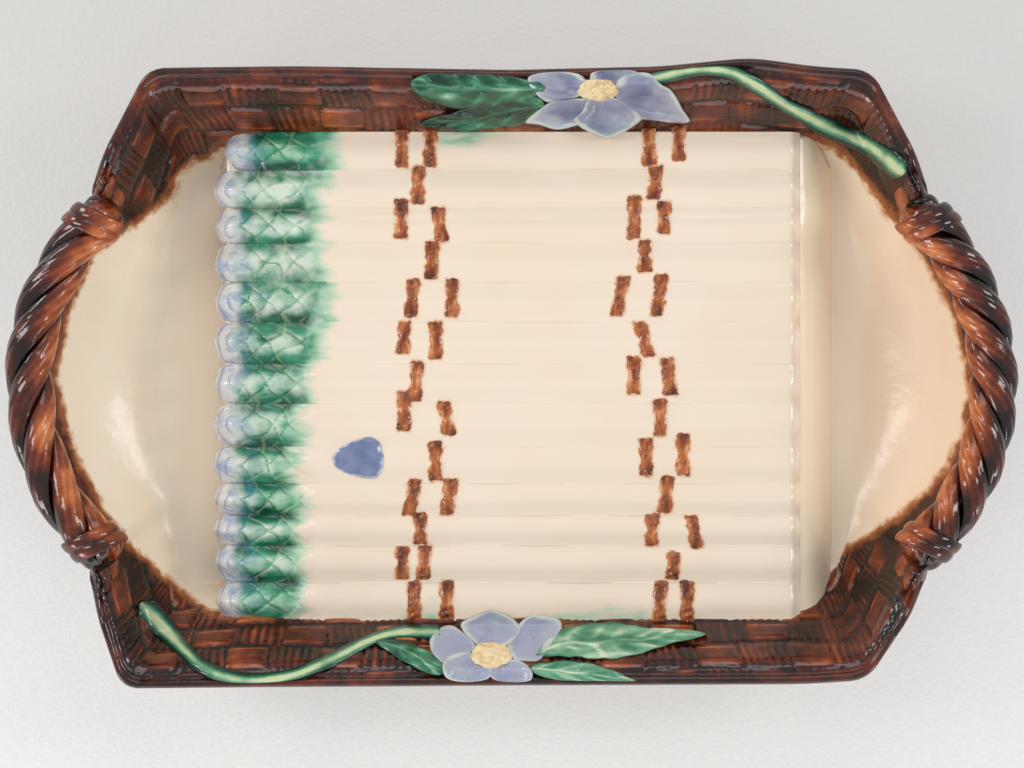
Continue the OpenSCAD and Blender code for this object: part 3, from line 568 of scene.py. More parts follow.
def build_shell():
    inner_steps, floor_steps, outer_steps = 62, 6, 44
    rows = RING[:, None, :]
    edge, foot = rows[..., 0:2], rows[..., 2:4]
    reach = np.linalg.norm(foot - edge, axis=-1)
    outward = (edge - foot) / reach[..., None]
    along = np.arange(RING_COUNT)[:, None] * RING_STEP
    rim_clear = 1 - rows[..., 5]

    # Inner face, from the outer edge to the floor
    inward = reach * np.linspace(0, 1, inner_steps)[None, :] ** 1.05
    smooth = inner_face(rows, inward)
    x, y = smooth[..., 0], smooth[..., 1]
    normal = ring_normals(smooth)
    normal *= np.sign(normal[..., 2:3])
    woven, glow = weave(along, inward - WEAVE_START, 11)
    fade = ease(-3.0, 2.5, into_brown(smooth)) * ease(3.6, 5.6, inward) * rim_clear
    # Painted reflection: on the back wall the weave's colour is painted flatter in contrast and a little
    # lighter, a haze that stands in for reflected light, and its relief is lower there. Towards the ends
    # the colour is painted darker.
    back_haze_share = ease(70, 100, y) * ease(178, 140, np.abs(x))
    clear = np.clip(0.80 + 0.36 * wobble(x, y, 46, 71), 0.35, 1) * mix(1.0, 0.68, back_haze_share)
    glow = mix(0.38 + 0.05 * back_haze_share, glow, clear) - 0.12 * ease(128, 150, np.abs(x))
    bead = np.sqrt(np.clip(1 - ((inward - 2.0) / 2.0) ** 2, 0, 1))
    crease = 1 - 0.5 * bell(inward - EDGE_WIDTH, 1.6)
    lift = INNER_RELIEF * woven * fade * crease * mix(0.55, 1.0, clear) + 0.25 * wobble(x, y, 30, 5)
    inner = smooth + normal * lift[..., None]
    inner[..., 2] += LIP_RISE * bead * rim_clear
    inner_height = np.where(inward < LIP_BREADTH, 0.14 + 0.22 * bead, mix(0.35, glow, fade))

    # Floor, recess and underside
    under = foot * np.linspace(1, RECESS_SHARE, floor_steps)[None, 1:, None]
    floor = xyz(under[..., 0], under[..., 1], FLOOR_HEIGHT)
    base = xyz(under[:, ::-1, 0], under[:, ::-1, 1], FOOT_HEIGHT)
    hidden = np.ones((RING_COUNT, floor.shape[1] + base.shape[1]))

    # Outer wall, from the foot to the edge
    v = np.linspace(0, 1, outer_steps)[None, :]
    top = mix(EDGE_HEIGHT, SEAT_HEIGHT, rows[..., 5])
    spot = foot + outward * mix(WALL / 2, reach, v)[..., None]
    smooth = xyz(spot[..., 0], spot[..., 1], FOOT_HEIGHT + (top - FOOT_HEIGHT) * v ** rows[..., 4])
    normal = ring_normals(smooth)
    normal *= np.sign((normal[..., :2] * outward).sum(axis=-1, keepdims=True))
    down = (1 - v) * np.hypot(reach, top - FOOT_HEIGHT)
    woven, glow = weave(along + 6, down * 0.86 - 2.6, 23)
    fade = ease(4.0, 7.0, down) * ease(0.10, 0.22, v) * rim_clear
    outer = smooth + normal * (OUTER_RELIEF * woven * fade)[..., None]

    points = np.concatenate([inner, floor, base, outer[:, :-1]], axis=1)
    brown = np.concatenate([into_brown(inner), -30 * hidden, (v * reach - 3.0)[:, :-1]], axis=1)
    height = np.concatenate([inner_height, 0.5 * hidden, mix(0.2, glow, fade)[:, :-1]], axis=1)
    form = Form()
    # right runs from the left well's painted-light cream to the right well's.
    form.add(points, grid_faces(*points.shape[:2], closed_n=True, closed_m=True),
             brown=brown, height=height, right=ease(124, 160, points[..., 0]))
    form.make("basket_shell", "cream_glaze", shell_material(), "dish_shell", "back_lip", "front_lip",
              "back_weave", "front_weave", "left_back_weave", "right_back_weave", "left_front_weave",
              "right_front_weave")


# Bed of asparagus
# The grooves, where the tips begin and end, and the pixels at which the green ends
GROOVES = mix(97.2, -100.1, np.concatenate([[0], np.cumsum(STALK_SHARES)]) / sum(STALK_SHARES))
TIP_JOINT = -78.0
NOSE_END = [-116.5, -120.6, -120.2, -120.4, -120.0, -120.5, -120.3, -120.5, -120.8, -120.4, -120.6,
            -120.2, -119.6]
NOSE_LENGTH = 8.5
NOSE_POWER = 2.3
NOSE_DROOP = 12.0
CUT_DROOP = 3.0
FINE_LENGTH = 8.0
STALK_OVERLAP = 0.15
STALK_RISE = 1.3
TIP_RISE = 2.4
GREEN_EDGE_PIXELS = [335, 325, 320, 318, 330, 320, 312, 300, 290, 300, 300, 298, 300]
# Ties: middle x, upper y, lower y, and lean in pixels of the upper end to the right
LEFT_TIES = [
    (402, 125, 168, 0), (430, 125, 168, 0), (418, 165, 205, 2), (401, 198, 240, 0),
    (440, 206, 243, -4), (432, 240, 280, 2), (412, 278, 318, 3), (452, 278, 318, 0),
    (404, 320, 355, 2), (436, 320, 360, 0), (416, 360, 402, 3), (404, 390, 432, 0),
    (446, 400, 436, -6), (435, 440, 482, 0), (412, 478, 516, 7), (449, 478, 516, 6),
    (420, 512, 545, 0), (402, 545, 580, 0), (424, 545, 580, 2), (414, 580, 623, 0),
    (447, 580, 623, 0)]
RIGHT_TIES = [
    (649, 124, 167, 0), (679, 122, 162, 0), (655, 165, 201, 3), (634, 195, 240, 2),
    (664, 200, 235, 0), (645, 238, 273, 0), (620, 275, 317, 8), (659, 273, 317, 6),
    (644, 321, 358, -9), (634, 355, 395, 0), (669, 357, 397, -4), (660, 398, 437, 0),
    (646, 437, 477, 0), (683, 433, 477, 0), (666, 475, 514, 3), (652, 513, 547, 2),
    (694, 514, 550, -8), (673, 551, 580, 3), (660, 580, 625, 2), (687, 580, 627, 0)]
TIE_HALF = 7.2
# Where green glaze ran from the leaves onto a stalk, and how pale the glaze of each tip is
LEAF_BLEEDS = [(0, [(428, 118), (512, 116), (508, 130), (492, 140), (470, 144), (440, 140)]),
               (12, [(556, 640), (560, 623), (600, 617), (640, 613), (660, 640)]),
               (12, [(338, 640), (348, 624), (390, 620), (432, 618), (436, 640)])]
TIP_WASH = [0.25, 1.0, 0.8, 1.0, 0.8, 0.6, 0.7, 0.75, 0.5, 0.35, 0.55, 0.4, 0.1]


# What the stalks' glaze is told where nothing is painted
UNPAINTED = {"tie": -20, "knot": 0, "pool": 0, "crest": 0, "fade": -40, "body": 0, "wash": 0, "nose": 60}

def tie_inside(px, py, row):
    """How far inside a tie, in pixels."""
    x, top, bottom, lean = row
    share = (py - (top + bottom) / 2) / (bottom - top)
    middle = x - lean * share
    half_long = (bottom - top) / 2 - 0.5
    ax = np.abs(px - middle) + 1.8 * bell(share, 0.12)
    ay = np.abs(py - (top + bottom) / 2)
    corner = 3.0
    gap = np.hypot(np.maximum(ax - TIE_HALF + corner, 0), np.maximum(ay - half_long + corner, 0))
    deep = np.minimum(TIE_HALF - ax, half_long - ay)
    return np.where(gap > 0, corner - gap, deep)


def tie_knot(py, row):
    """How near a tie's ends, 0 to 1."""
    return np.clip(np.abs(py - (row[1] + row[2]) / 2) / ((row[2] - row[1]) / 2), 0, 1)


def all_ties(px, py):
    """How far inside the nearest tie, in pixels, and how near that tie's ends."""
    best, knot = np.full(px.shape, -20.0), np.zeros(px.shape)
    for row in LEFT_TIES + RIGHT_TIES:
        inside = tie_inside(px, py, row)
        knot = np.where(inside > best, tie_knot(py, row), knot)
        best = np.maximum(best, inside)
    return best, knot


def stalk_share(y):
    """Across the stalk that lies at y: -1 and 1 in its grooves and 0 on its crown."""
    i = np.clip(np.searchsorted(-GROOVES, -y) - 1, 0, len(STALK_SHARES) - 1)
    return np.clip((y - (GROOVES[i] + GROOVES[i + 1]) / 2) * 2 / (GROOVES[i] - GROOVES[i + 1]), -1, 1)


def stalk_height(w, rise=STALK_RISE):
    return STALK_TOP - rise + rise * (0.5 + 0.5 * np.cos(math.pi * w)) ** 0.95


def scales(from_nose, side, seed):
    """Relief of the overlapping scales on a tip, 0 to 1, and its raised borders. The scales
    point to the nose, and close round it in arcs."""
    warp = 1.1 * wobble(from_nose, side + seed * 31, 13, 300 + seed)
    long, broad = 11.0, 10.4
    p = (from_nose + warp) / long + (side + 0.5 * warp) / broad
    q = (from_nose + warp) / long - (side - 0.5 * warp) / broad
    low = np.minimum(p - np.floor(p), q - np.floor(q))
    relief = ease(0.0, 0.20, low) * (1 - low) ** 0.9
    border = bell(low - 0.14, 0.11)
    ring = np.hypot(from_nose - 9.5 + 0.6 * warp, side + 0.5 * warp) / 3.6 + 0.15
    arc = ring - np.floor(ring)
    arc_relief = ease(0.0, 0.25, arc) * (1 - 0.5 * arc)
    arc_border = bell(arc - 0.22, 0.16)
    end = ease(12.5, 8.0, from_nose)
    return mix(relief, arc_relief, end), mix(border, arc_border, end)


def bed_material():
    s = Shader("stalk_glaze", roughness=0.16)
    crest, body, nose = s.value("crest"), s.value("body"), s.value("nose")
    # Pooled glaze, partly real and partly painted light: pale yellow in the grooves, at the stalks' cut
    # ends and over the bed's right end, where it also lightens the shade of the slope.
    pooled = s.value("pool") + s.noise(6, 4.0, stretch=(1.6, 0.7, 1)) * 0.45
    cream = s.blend(s.span(s.noise(46, 2.0), -0.7, 0.9) * 0.45, CREAM, CREAM_DEEP)
    cream = s.blend(s.span(pooled, 0.35, 1.05), cream, POOLED_AND_LIT)
    # Green is deep in the grooves and washed thin over the round of each tip
    depth = body * 0.50 + s.noise(8, 4.0, stretch=(0.6, 1.2, 1)) * 0.46
    green = s.ramp(depth + 0.12, (0.0, "084632"), (0.25, "1e7454"),
                   (0.50, "4e9e7a"), (0.74, "92c0a4"), (1.0, "d8e0cc"))
    thin = crest + s.noise(6, shift=2.7) * 0.55
    green = s.blend(s.span(thin, 0.40, 1.5) * 0.46, green, "bacc96")
    washed = s.value("wash") * 0.60 + (body * 0.55 + s.noise(8, shift=12.0) * 0.50)
    green = s.blend(s.span(washed, 0.45, 1.30) * 0.88, green, "dce4d4")
    blue_zone = s.span(nose + s.noise(7, 2.0, shift=1.0) * 4.5, 22, 12)
    patches = s.span(s.noise(9, 2.0, shift=9.0), -0.4, 0.6)
    green = s.blend(blue_zone * patches * 0.62, green, "54849e")
    # The ends are pale, with lilac on the scales' borders
    line = s.span(crest + s.noise(4, 2.0, shift=3.3) * 0.35, 0.45, 1.05)
    pale = s.blend(s.span(s.noise(7, shift=7.0), -0.2, 0.8), "e4e0da", "a2accc")
    ends = s.blend(line * 0.8, pale, "9096b6")
    end_zone = s.span(nose + s.noise(7, shift=4.0) * 4.0, 13.5, 6.0)
    green = s.blend(end_zone * 0.92, green, ends)
    bleed = s.value("fade") + s.noise(8.0, 4.0, stretch=(0.36, 1.1, 1), shift=6.0) * 8.0
    wash = s.blend(s.span(bleed, -5.5, 2.0), cream, "acd0b0")
    colour = s.blend(s.span(bleed, -1.5, 6.0), wash, green)
    tie = s.value("tie") + s.noise(2.6, shift=8.0) * 0.80 + s.noise(5.5, 2.0, shift=2.4) * 0.40
    fringe = s.blend(s.span(tie, -0.9, 0.5), colour, "dca678")
    knot = s.math("POWER", s.value("knot"), 2.5)
    tone = knot * 0.34 + s.noise(4.5, 4.0, stretch=(1.5, 0.6, 1), shift=4.6) * 0.60
    core = s.ramp(tone + tie * 0.07 + 0.22, (0.0, "d69660"), (0.22, "b86a38"),
                  (0.46, "924a24"), (0.72, "622e16"), (1.0, "2e160e"))
    return s.finish(s.blend(s.span(tie, -0.1, 0.5), fringe, core), bump_mm=0.22, bump_size=8.0)


def spear(i, material):
    """One stalk with its tip: a rounded bar that ends in a drooping bud."""
    long_steps, nose_steps, steps_across = 290, 45, 44
    middle, half = (GROOVES[i] + GROOVES[i + 1]) / 2, (GROOVES[i] - GROOVES[i + 1]) / 2
    cut_side = DECK_CUT_SIDE + 0.6
    straight = np.linspace(cut_side, NOSE_END[i] + FINE_LENGTH, long_steps)
    turning = np.sin(np.linspace(0, math.pi / 2, nose_steps)[1:])
    x = np.concatenate([straight, NOSE_END[i] + FINE_LENGTH * (1 - turning)])[:, None]
    w = np.linspace(-1, 1, steps_across)[None, :]
    w = np.sign(w) * (1 - (1 - np.abs(w)) ** 1.1)
    wander = 0.35 * wobble(x, np.full_like(x, i * 40.0), 70, 3 + i)
    from_nose = x - NOSE_END[i]
    tip = ease(TIP_JOINT + 4, TIP_JOINT - 8, x)
    short = 1 - np.clip(from_nose, 0, NOSE_LENGTH) / NOSE_LENGTH
    blunt = np.clip(1 - short ** NOSE_POWER, 0, 1) ** (1 / NOSE_POWER)
    waist = 1 - 0.05 * tip * ease(18, 9, from_nose)
    width = half * waist * mix(1, 0.22 + 0.78 * blunt, tip)
    y = middle + wander * (1 - np.abs(w) ** 4) + (width + STALK_OVERLAP) * w
    arch = (0.5 + 0.5 * np.cos(math.pi * w)) ** 0.7
    bulge = tip * (0.8 * np.sin(np.clip((TIP_JOINT - x) / 40, 0, 1) * math.pi))
    bulge = bulge + 0.8 * tip * ease(30, 12, from_nose)
    z = stalk_height(w, mix(STALK_RISE, TIP_RISE, tip)) + bulge * arch + 0.12 * wobble(x, y * 2, 30, 40 + i)
    z = z - tip * ((1 - blunt) * NOSE_DROOP * mix(1, 0.55, arch) + 1.6 * ease(24, 5, from_nose))
    z = z - CUT_DROOP * ease(DECK_CUT_SIDE - 5.0, cut_side, x) ** 2
    side = width * w
    relief, border = scales(from_nose + 0.25 * side ** 2 / half, side, i)
    on_tip = tip * ease(TIP_JOINT + 2, TIP_JOINT - 8, x)
    z = z + 1.05 * relief * on_tip * arch ** 0.3 * ease(-0.5, 4.0, from_nose)
    points = xyz(x, y, z)
    px, py = to_pixels(points)
    tie, knot = all_ties(px, py)
    tie *= RIM_SCALE
    points[..., 2] += 0.35 * ease(-0.6, 0.8, tie)
    fade = -(px - GREEN_EDGE_PIXELS[i]) * scale_at(STALK_TOP)
    for bled_stalk, outline in LEAF_BLEEDS:
        if bled_stalk == i:
            fade = np.maximum(fade, inside_by(px, py, outline) * RIM_SCALE - 2.0)
    # Pooled glaze in the grooves, and at the cut end also painted light that lightens its shade.
    pool = 0.9 * ease(DECK_CUT_SIDE - 6.0, DECK_CUT_SIDE, x) * (0.6 + 0.4 * arch) + 0.10 * (1 - arch) ** 2
    bottom = points.copy()
    bottom[..., 2] = np.minimum(points[..., 2] - 1.5, DECK_HEIGHT - 0.5)
    form = Form()
    form.slab(points, bottom, tie=tie, knot=knot, fade=fade, crest=border * on_tip, pool=pool,
              body=arch * (0.45 + 0.75 * relief) * on_tip + 0.5 * (1 - on_tip), wash=TIP_WASH[i],
              nose=from_nose)
    number = f"{i + 1:02d}"
    form.make(f"asparagus_{number}", "cream_glaze", material, f"stalk_{number}", f"tip_{number}")


def build_bed(material):
    for i in range(len(STALK_SHARES)):
        spear(i, material)
    # The raised ground that carries them, hollow below, with its two sloping ends, in x and z
    above = smooth_line([(-120.0, 9.5), (-119.4, 11.6), (-118.0, 16.0), (-116.2, 23.0),
                         (-113.5, 27.0), (-105, 28.6), (0, 28.8), (105, 28.8), (112.5, 28.8),
                         (117.0, 27.7), (121.0, 25.6), (125.5, 20.6), (129.5, 14.2), (132.5, 9.5)], 240)
    below = smooth_line([(-114.0, 9.5), (-113.4, 11.0), (-112.0, 14.0), (-110.0, 19.0),
                         (-107.5, 20.8), (-100, 21.0), (0, 21.0), (100, 21.0), (108.5, 20.8),
                         (111.5, 19.8), (115.0, 16.4), (118.5, 13.0), (121.0, 11.0), (124.0, 9.5)], 240)

    def ground_of(line):
        x, z = line[::-1, 0:1], line[::-1, 1:2]
        share = np.linspace(0, 1, 120)[None, :]
        narrow = ease(26.5, 11, z)
        back = mix(96.4 - 6.0 * ease(-108, -117, x), 84.5, narrow)
        return xyz(x, mix(back, mix(-99.2, -87.0, narrow), share), z)

    points = ground_of(above)
    x = points[..., 0]
    # The right end's slope is painted pale yellow: pooled glaze, and painted light over its shade.
    paint = dict(UNPAINTED, pool=1.4 * ease(110.0, 114.0, x), fade=np.where(x < -112, -3.0, -40.0),
                 body=0.6, nose=2)
    form = Form()
    form.slab(points, ground_of(below), {"fade": -40}, **paint)
    form.make("bed_ground", "cream_glaze", material, "stalk_deck")


# Ties
def build_ties(name, rows, material):
    """A column of ties, laid over the stalks."""
    form = Form()
    for row in rows:
        x, top, bottom, lean = row
        u = np.linspace(-1, 1, 17)[None, ::-1]
        v = np.linspace(-1, 1, 37)[:, None]
        py = (top + bottom) / 2 + v * ((bottom - top) / 2 - 0.4)
        px = x - lean * v / 2 + u * (TIE_HALF - 0.2) * (1 - 0.25 * np.abs(v) ** 12)
        x, y = place_at(px, py, STALK_TOP)
        inside = tie_inside(px, py, row) * RIM_SCALE
        base = stalk_height(stalk_share(y))
        rise = ease(-0.1, 1.3, inside) * (0.75 + 0.35 * wobble(x * 2, y * 2, 5, 77)) * (0.8 + 0.2 * u ** 2)
        form.slab(xyz(x, y, base + 0.1 + rise), xyz(x, y, base - 1.2),
                  **dict(UNPAINTED, tie=inside, knot=tie_knot(py, row)))
    form.make(name, "brown_glaze", material)


# Ropes
STRAND_ANGLE = 60.0
STRAND_OVERLAP_ANGLE = 0.4
ROPE_SKIN_SHARE = 0.987
ROPE_CLEARANCE = 0.25


def rope_material():
    s = Shader("rope_glaze")
    lit = s.value("height") * 0.62 + s.value("inner") * 0.42
    return s.finish(brown_colour(s, lit), bump_mm=0.3, bump_size=5.0, strength=0.35)


def rope_place(side, at, r, turn):
    """A place round the rope's middle line: at runs along its arc, and turn goes round it."""
    out = ARC_RADIUS + r * np.cos(turn)
    return xyz(side * (ARC_MIDDLE + out * np.cos(at)), out * np.sin(at) - ROPE_SHIFT,
               ROPE_HEIGHT + r * np.sin(turn))


def strand(side_name, k, material):
    """One of the three strands that are wound round each other to a rope."""
    side = 1 if side_name == "right" else -1
    arc_length = 2 * ARC_RADIUS * ARC_ANGLE
    steps, around = 440, 46
    past = ROPE_END / arc_length
    t = np.linspace(-past, 1 + past, steps)[:, None]
    at = ARC_ANGLE * (2 * t - 1)
    beyond = np.clip(np.maximum(-t, t - 1) / past, 0, 1)
    dome = np.sqrt(np.clip(1 - beyond ** 2, 0.02, 1))
    turn = math.radians(120 * k) + 2 * math.pi * arc_length / ROPE_TURNS[side_name] * t
    turn = turn + 0.10 * np.sin(t * 9 + k)
    third = math.radians(STRAND_ANGLE)
    a = math.radians(STRAND_ANGLE + STRAND_OVERLAP_ANGLE) * np.linspace(-1, 1, around)[None, :]
    fall = 1 - np.cos(1.5 * np.clip(a, -third, third)) ** 0.62
    girth = 1 + 0.025 * np.sin(t * 23 + 2 * k)
    r = ROPE_RADIUS * ROPE_SKIN_SHARE * girth - STRAND_GROOVE * fall - ROPE_CLEARANCE
    fibre = np.cos(a * 17 + 5.0 * np.sin(t * 3 + k) + t * 46)
    skin = rope_place(side, at, (r + 0.11 * fibre * (1 - fall)) * dome, turn + a)
    skin[..., 2] -= 2.0 * beyond
    points = np.concatenate([skin, rope_place(side, at, 0.2, turn)], axis=1)
    m = around + 1
    core = np.zeros((steps, 1))
    height = np.concatenate([0.02 + 0.60 * (1 - fall) ** 1.4 + 0.09 * fibre, core], axis=1)
    inner = np.concatenate([ease(0.35, -0.75, np.cos(turn + a)), core], axis=1)
    first, last = list(range(m)), [(steps - 1) * m + j for j in range(m)][::-1]
    caps = [first, last] if side < 0 else [first[::-1], last[::-1]]
    form = Form()
    form.add(points, grid_faces(steps, m, closed_m=True, turned=side < 0), caps, height=height,
             inner=inner)
    form.make(f"{side_name}_rope_strand_{k + 1}", "brown_glaze", material)


# The outline's rows at which the ropes end, and the way along the edge beyond them
LEFT_ROPE_ROW = ARC_STEPS + 1 + len(BACK_OUTLINE)
ROPE_ENDS = {("right", "front"): (0, -1), ("right", "back"): (ARC_STEPS, 1),
             ("left", "back"): (LEFT_ROPE_ROW, -1), ("left", "front"): (LEFT_ROPE_ROW + ARC_STEPS, 1)}
TAIL_FROM = 2.5
TAIL_TO = 27.0
TAIL_RISE = 7.6
TAIL_RELIEF = 1.6


def tail(form, side_name, end_name):
    """The three strands, flattened, as they run on from the rope into the corner's wall."""
    row, way = ROPE_ENDS[side_name, end_name]
    run = np.linspace(TAIL_FROM, TAIL_TO, 60)[:, None]
    u = np.linspace(-1, 1, 61)[None, :]
    half = mix(6.4, 5.6, ease(3, 20, run))
    inward = 6.0 + 1.0 * ease(3, 10, run) + half * u
    rows = rows_at(WAY[row] + way * run + 0 * u)
    below = inner_face(rows, inward)
    lobe = np.abs(np.cos(1.5 * math.pi * u)) ** 0.7
    edge = np.clip(1 - u ** 2, 0, 1)
    crest = ROPE_HEIGHT + TAIL_RISE * np.cos(u * 1.2) - 1.8 * (1 - lobe)
    high = mix(below[..., 2], crest, edge ** 0.40)
    low = below[..., 2] + TAIL_RELIEF * lobe * edge ** 0.3 * ease(TAIL_TO - 1, TAIL_TO - 12, run)
    top = below.copy()
    raised = ease(21.0, 2.0, run) ** 1.3 * ease(1.0, 7.0, run)
    top[..., 2] = mix(low, high, raised) - 2.6 * ease(TAIL_TO - 5, TAIL_TO, run)
    fibre = 0.10 * np.cos(u * 44 + 2 * np.sin(run / 4))
    below[..., 2] -= 1.2
    if way > 0:
        top, below, u = top[:, ::-1], below[:, ::-1], u[:, ::-1]
        lobe, fibre = lobe[:, ::-1], fibre[:, ::-1]
    form.slab(top, below, height=0.10 + 0.5 * lobe + fibre, inner=ease(-0.6, 0.9, u))


def binding(side_name, end_name, material):
    """A cord wound twice aslant round the rope's end, and the strands beyond it."""
    turn_steps, cord_steps = 120, 16
    side = 1 if side_name == "right" else -1
    end = 1 if end_name == "back" else -1
    at = end * (ARC_ANGLE - 4.5 / ARC_RADIUS)
    along = np.array([-math.sin(at) * side, math.cos(at), 0]) * end
    turn = np.linspace(0, 2 * math.pi, turn_steps, endpoint=False)[:, None]
    round_cord = np.linspace(0, 2 * math.pi, cord_steps, endpoint=False)[None, :]
    faces = grid_faces(turn_steps, cord_steps, closed_n=True, closed_m=True, turned=side * end < 0)
    form = Form()
    for k in (-0.5, 0.5):
        r = ROPE_RADIUS - 0.1 + 1.15 * (1 + 0.12 * np.sin(turn * 3 + k * 5)) * np.cos(round_cord)
        across = k * BINDING_LENGTH * 0.40 - 3.4 * np.cos(turn) + 2.8 * np.sin(round_cord)
        height = 0.16 + 0.34 * np.cos(round_cord) + 0.14 * np.sin(turn * 5 + k * 4)
        form.add(rope_place(side, at, r, turn) + along * across[..., None], faces, height=height,
                 inner=ease(0.5, -0.8, np.cos(turn)))
    tail(form, side_name, end_name)
    form.make(f"{side_name}_{end_name}_binding", "brown_glaze", material)


# Flowers, leaves and vines
SPRIG_LIFT = 3.2
SPRIG_SINK = 1.2
# Petals' outlines and how high each lies above the lowest
BACK_PETALS = [
    ([(585, 82), (574, 71), (560, 67), (545, 69), (534, 74), (529, 81), (533, 89), (541, 97),
      (549, 101), (561, 99), (574, 97), (584, 93)], 0.0),
    ([(592, 100), (567, 100), (551, 103), (540, 110), (531, 117), (528, 122), (541, 124),
      (557, 128), (570, 126), (582, 122), (594, 112)], 0.3),
    ([(590, 100), (584, 111), (576, 120), (584, 127), (595, 132), (607, 136), (618, 133),
      (629, 127), (640, 118), (631, 109), (618, 100), (605, 97)], 0.9),
    ([(614, 90), (621, 80), (632, 75), (644, 73), (653, 77), (660, 85), (669, 90), (675, 98),
      (680, 108), (687, 120), (672, 121), (656, 119), (641, 117), (631, 111), (620, 101)], 0.5),
    ([(591, 82), (593, 71), (602, 65), (615, 62), (628, 64), (635, 69), (638, 75), (628, 79),
      (616, 83), (603, 84)], 0.0)]
FRONT_PETALS = [
    ([(478, 644), (467, 634), (463, 624), (475, 618), (490, 612), (504, 616), (514, 622),
      (519, 630), (514, 638), (505, 645), (491, 645)], 0.7),
    ([(508, 645), (515, 634), (520, 625), (532, 617), (546, 618), (557, 621), (560, 628),
      (553, 640), (546, 650), (539, 659), (528, 660), (514, 658)], 0.2),
    ([(500, 661), (514, 660), (524, 664), (531, 672), (529, 682), (518, 687), (505, 685),
      (495, 680), (490, 671)], 0.6),
    ([(478, 656), (462, 653), (450, 657), (444, 665), (446, 675), (455, 682), (467, 685),
      (480, 682), (489, 676), (491, 667)], 0.9),
    ([(474, 645), (463, 634), (452, 627), (441, 629), (432, 638), (432, 649), (438, 658),
      (447, 663), (456, 656), (468, 655)], 0.1)]
# Leaves: the midrib, half breadths at even steps of it, veins, height and paleness
BACK_LEAVES = [
    ([(545, 88), (500, 90), (455, 89), (411, 84)], [6, 13, 19, 20, 18, 9], 5, 0.2, 0.0),
    ([(545, 106), (500, 113), (465, 120), (420, 124)], [10, 15, 13, 9, 3], 5, 0.0, 0.0)]
FRONT_LEAVES = [
    ([(536, 655), (565, 643), (600, 641), (640, 640), (670, 636), (706, 634)],
     [4, 14, 18, 18, 12, 7, 3], 7, 0.3, 1.4),
    ([(531, 668), (565, 672), (600, 676), (636, 684)], [5, 12, 10, 3], 4, 0.0, 1.4),
    ([(374, 639), (398, 648), (420, 658), (444, 672)], [3, 9, 11, 7], 3, 0.0, 0.2)]
# Vines, from the flower outwards at the back and towards it at the front
BACK_VINE = [(650, 79), (675, 73), (700, 69), (730, 72), (760, 88), (790, 108), (830, 128),
             (868, 146), (904, 174)]
FRONT_VINE = [(141, 603), (175, 640), (205, 668), (245, 681), (290, 676), (330, 660), (370, 640),
              (400, 632), (440, 632)]
# Flowers' middles, the half breadths of their eyes, and the loose petal
BACK_FLOWER, BACK_EYE = (598, 90), (20, 11)
FRONT_FLOWER, FRONT_EYE = (491, 655), (20.5, 13)
LOOSE_PETAL = [(384, 456), (383, 468), (376, 478), (362, 478), (348, 474), (337, 468), (332, 461),
               (334, 453), (343, 446), (356, 440), (370, 437), (380, 443), (384, 456)]
LOOSE_PETAL_MIDDLE = (358, 458)


def patch(form, px, py, lift, **paint):
    """A closed relief over pixels of the photograph, sunk into what lies below it."""
    top = lay(px, py, lift)
    bottom = top.copy()
    bottom[..., 2] -= lift + SPRIG_SINK
    form.slab(top, bottom, **paint)


def drawn_in(middle, edge, r):
    """Pixels on the ways from a middle to the points of an edge, at the shares r."""
    return middle[0] + (edge[:, 0] - middle[0]) * r, middle[1] + (edge[:, 1] - middle[1]) * r


def petal(form, middle, outline, level, pale):
    """A petal with a thick curled rim and a shallow furrow from the flower's middle."""
    p = np.array(outline, float)
    after = np.roll(p, -1, axis=0)
    if (p[:, 0] * after[:, 1] - p[:, 1] * after[:, 0]).sum() < 0:
        p = p[::-1]
    edge = smooth_line(np.vstack([p, p[:1]]), 84)
    heart = edge.mean(axis=0)
    r = np.sin(np.linspace(0.001, 1, 18) * math.pi / 2)[:, None]
    px, py = drawn_in(heart, heart + (edge - heart) * 1.07, r)
    way = heart - np.array(middle)
    length = np.linalg.norm(way)
    along = ((px - middle[0]) * way[0] + (py - middle[1]) * way[1]) / (1.8 * length ** 2)
    off = ((py - middle[1]) * way[0] - (px - middle[0]) * way[1]) / length
    furrow = bell(off, 3.5) * ease(0.05, 0.4, along) * ease(1.0, 0.7, r)
    swell = 1.1 * ease(0.50, 0.90, r) + 0.12 * np.cos(off * 0.9)
    lift = SPRIG_LIFT + level + swell - 0.45 * furrow - 1.6 * ease(0.95, 1.0, r)
    patch(form, px, py, lift, rim=r + 0.10 * wobble(px, py, 30, 9), along=along, pale=pale)


def flower(name, middle, petals, eye, pale, petal_glaze, eye_glaze):
    form = Form()
    for outline, level in petals:
        petal(form, middle, outline, level, pale)
    form.make(name + "_petals", "lilac_glaze", petal_glaze)
    r = np.linspace(0.001, 1, 16)[:, None]
    angle = np.linspace(0, 2 * math.pi, 64)[None, :]
    ragged = 1 + 0.05 * np.sin(angle * 5) + 0.03 * np.sin(angle * 11)
    px = middle[0] + eye[0] * r * ragged * np.cos(angle)
    py = middle[1] + eye[1] * r * ragged * np.sin(angle)
    dots = np.sin(px * 1.5) * np.sin(py * 1.5)
    form = Form()
    patch(form, px, py, SPRIG_LIFT + 1.8 + 1.6 * (1 - r ** 2.2) + 0.3 * dots * (1 - r ** 6))
    form.make(name + "_centre", "yellow_glaze", eye_glaze)


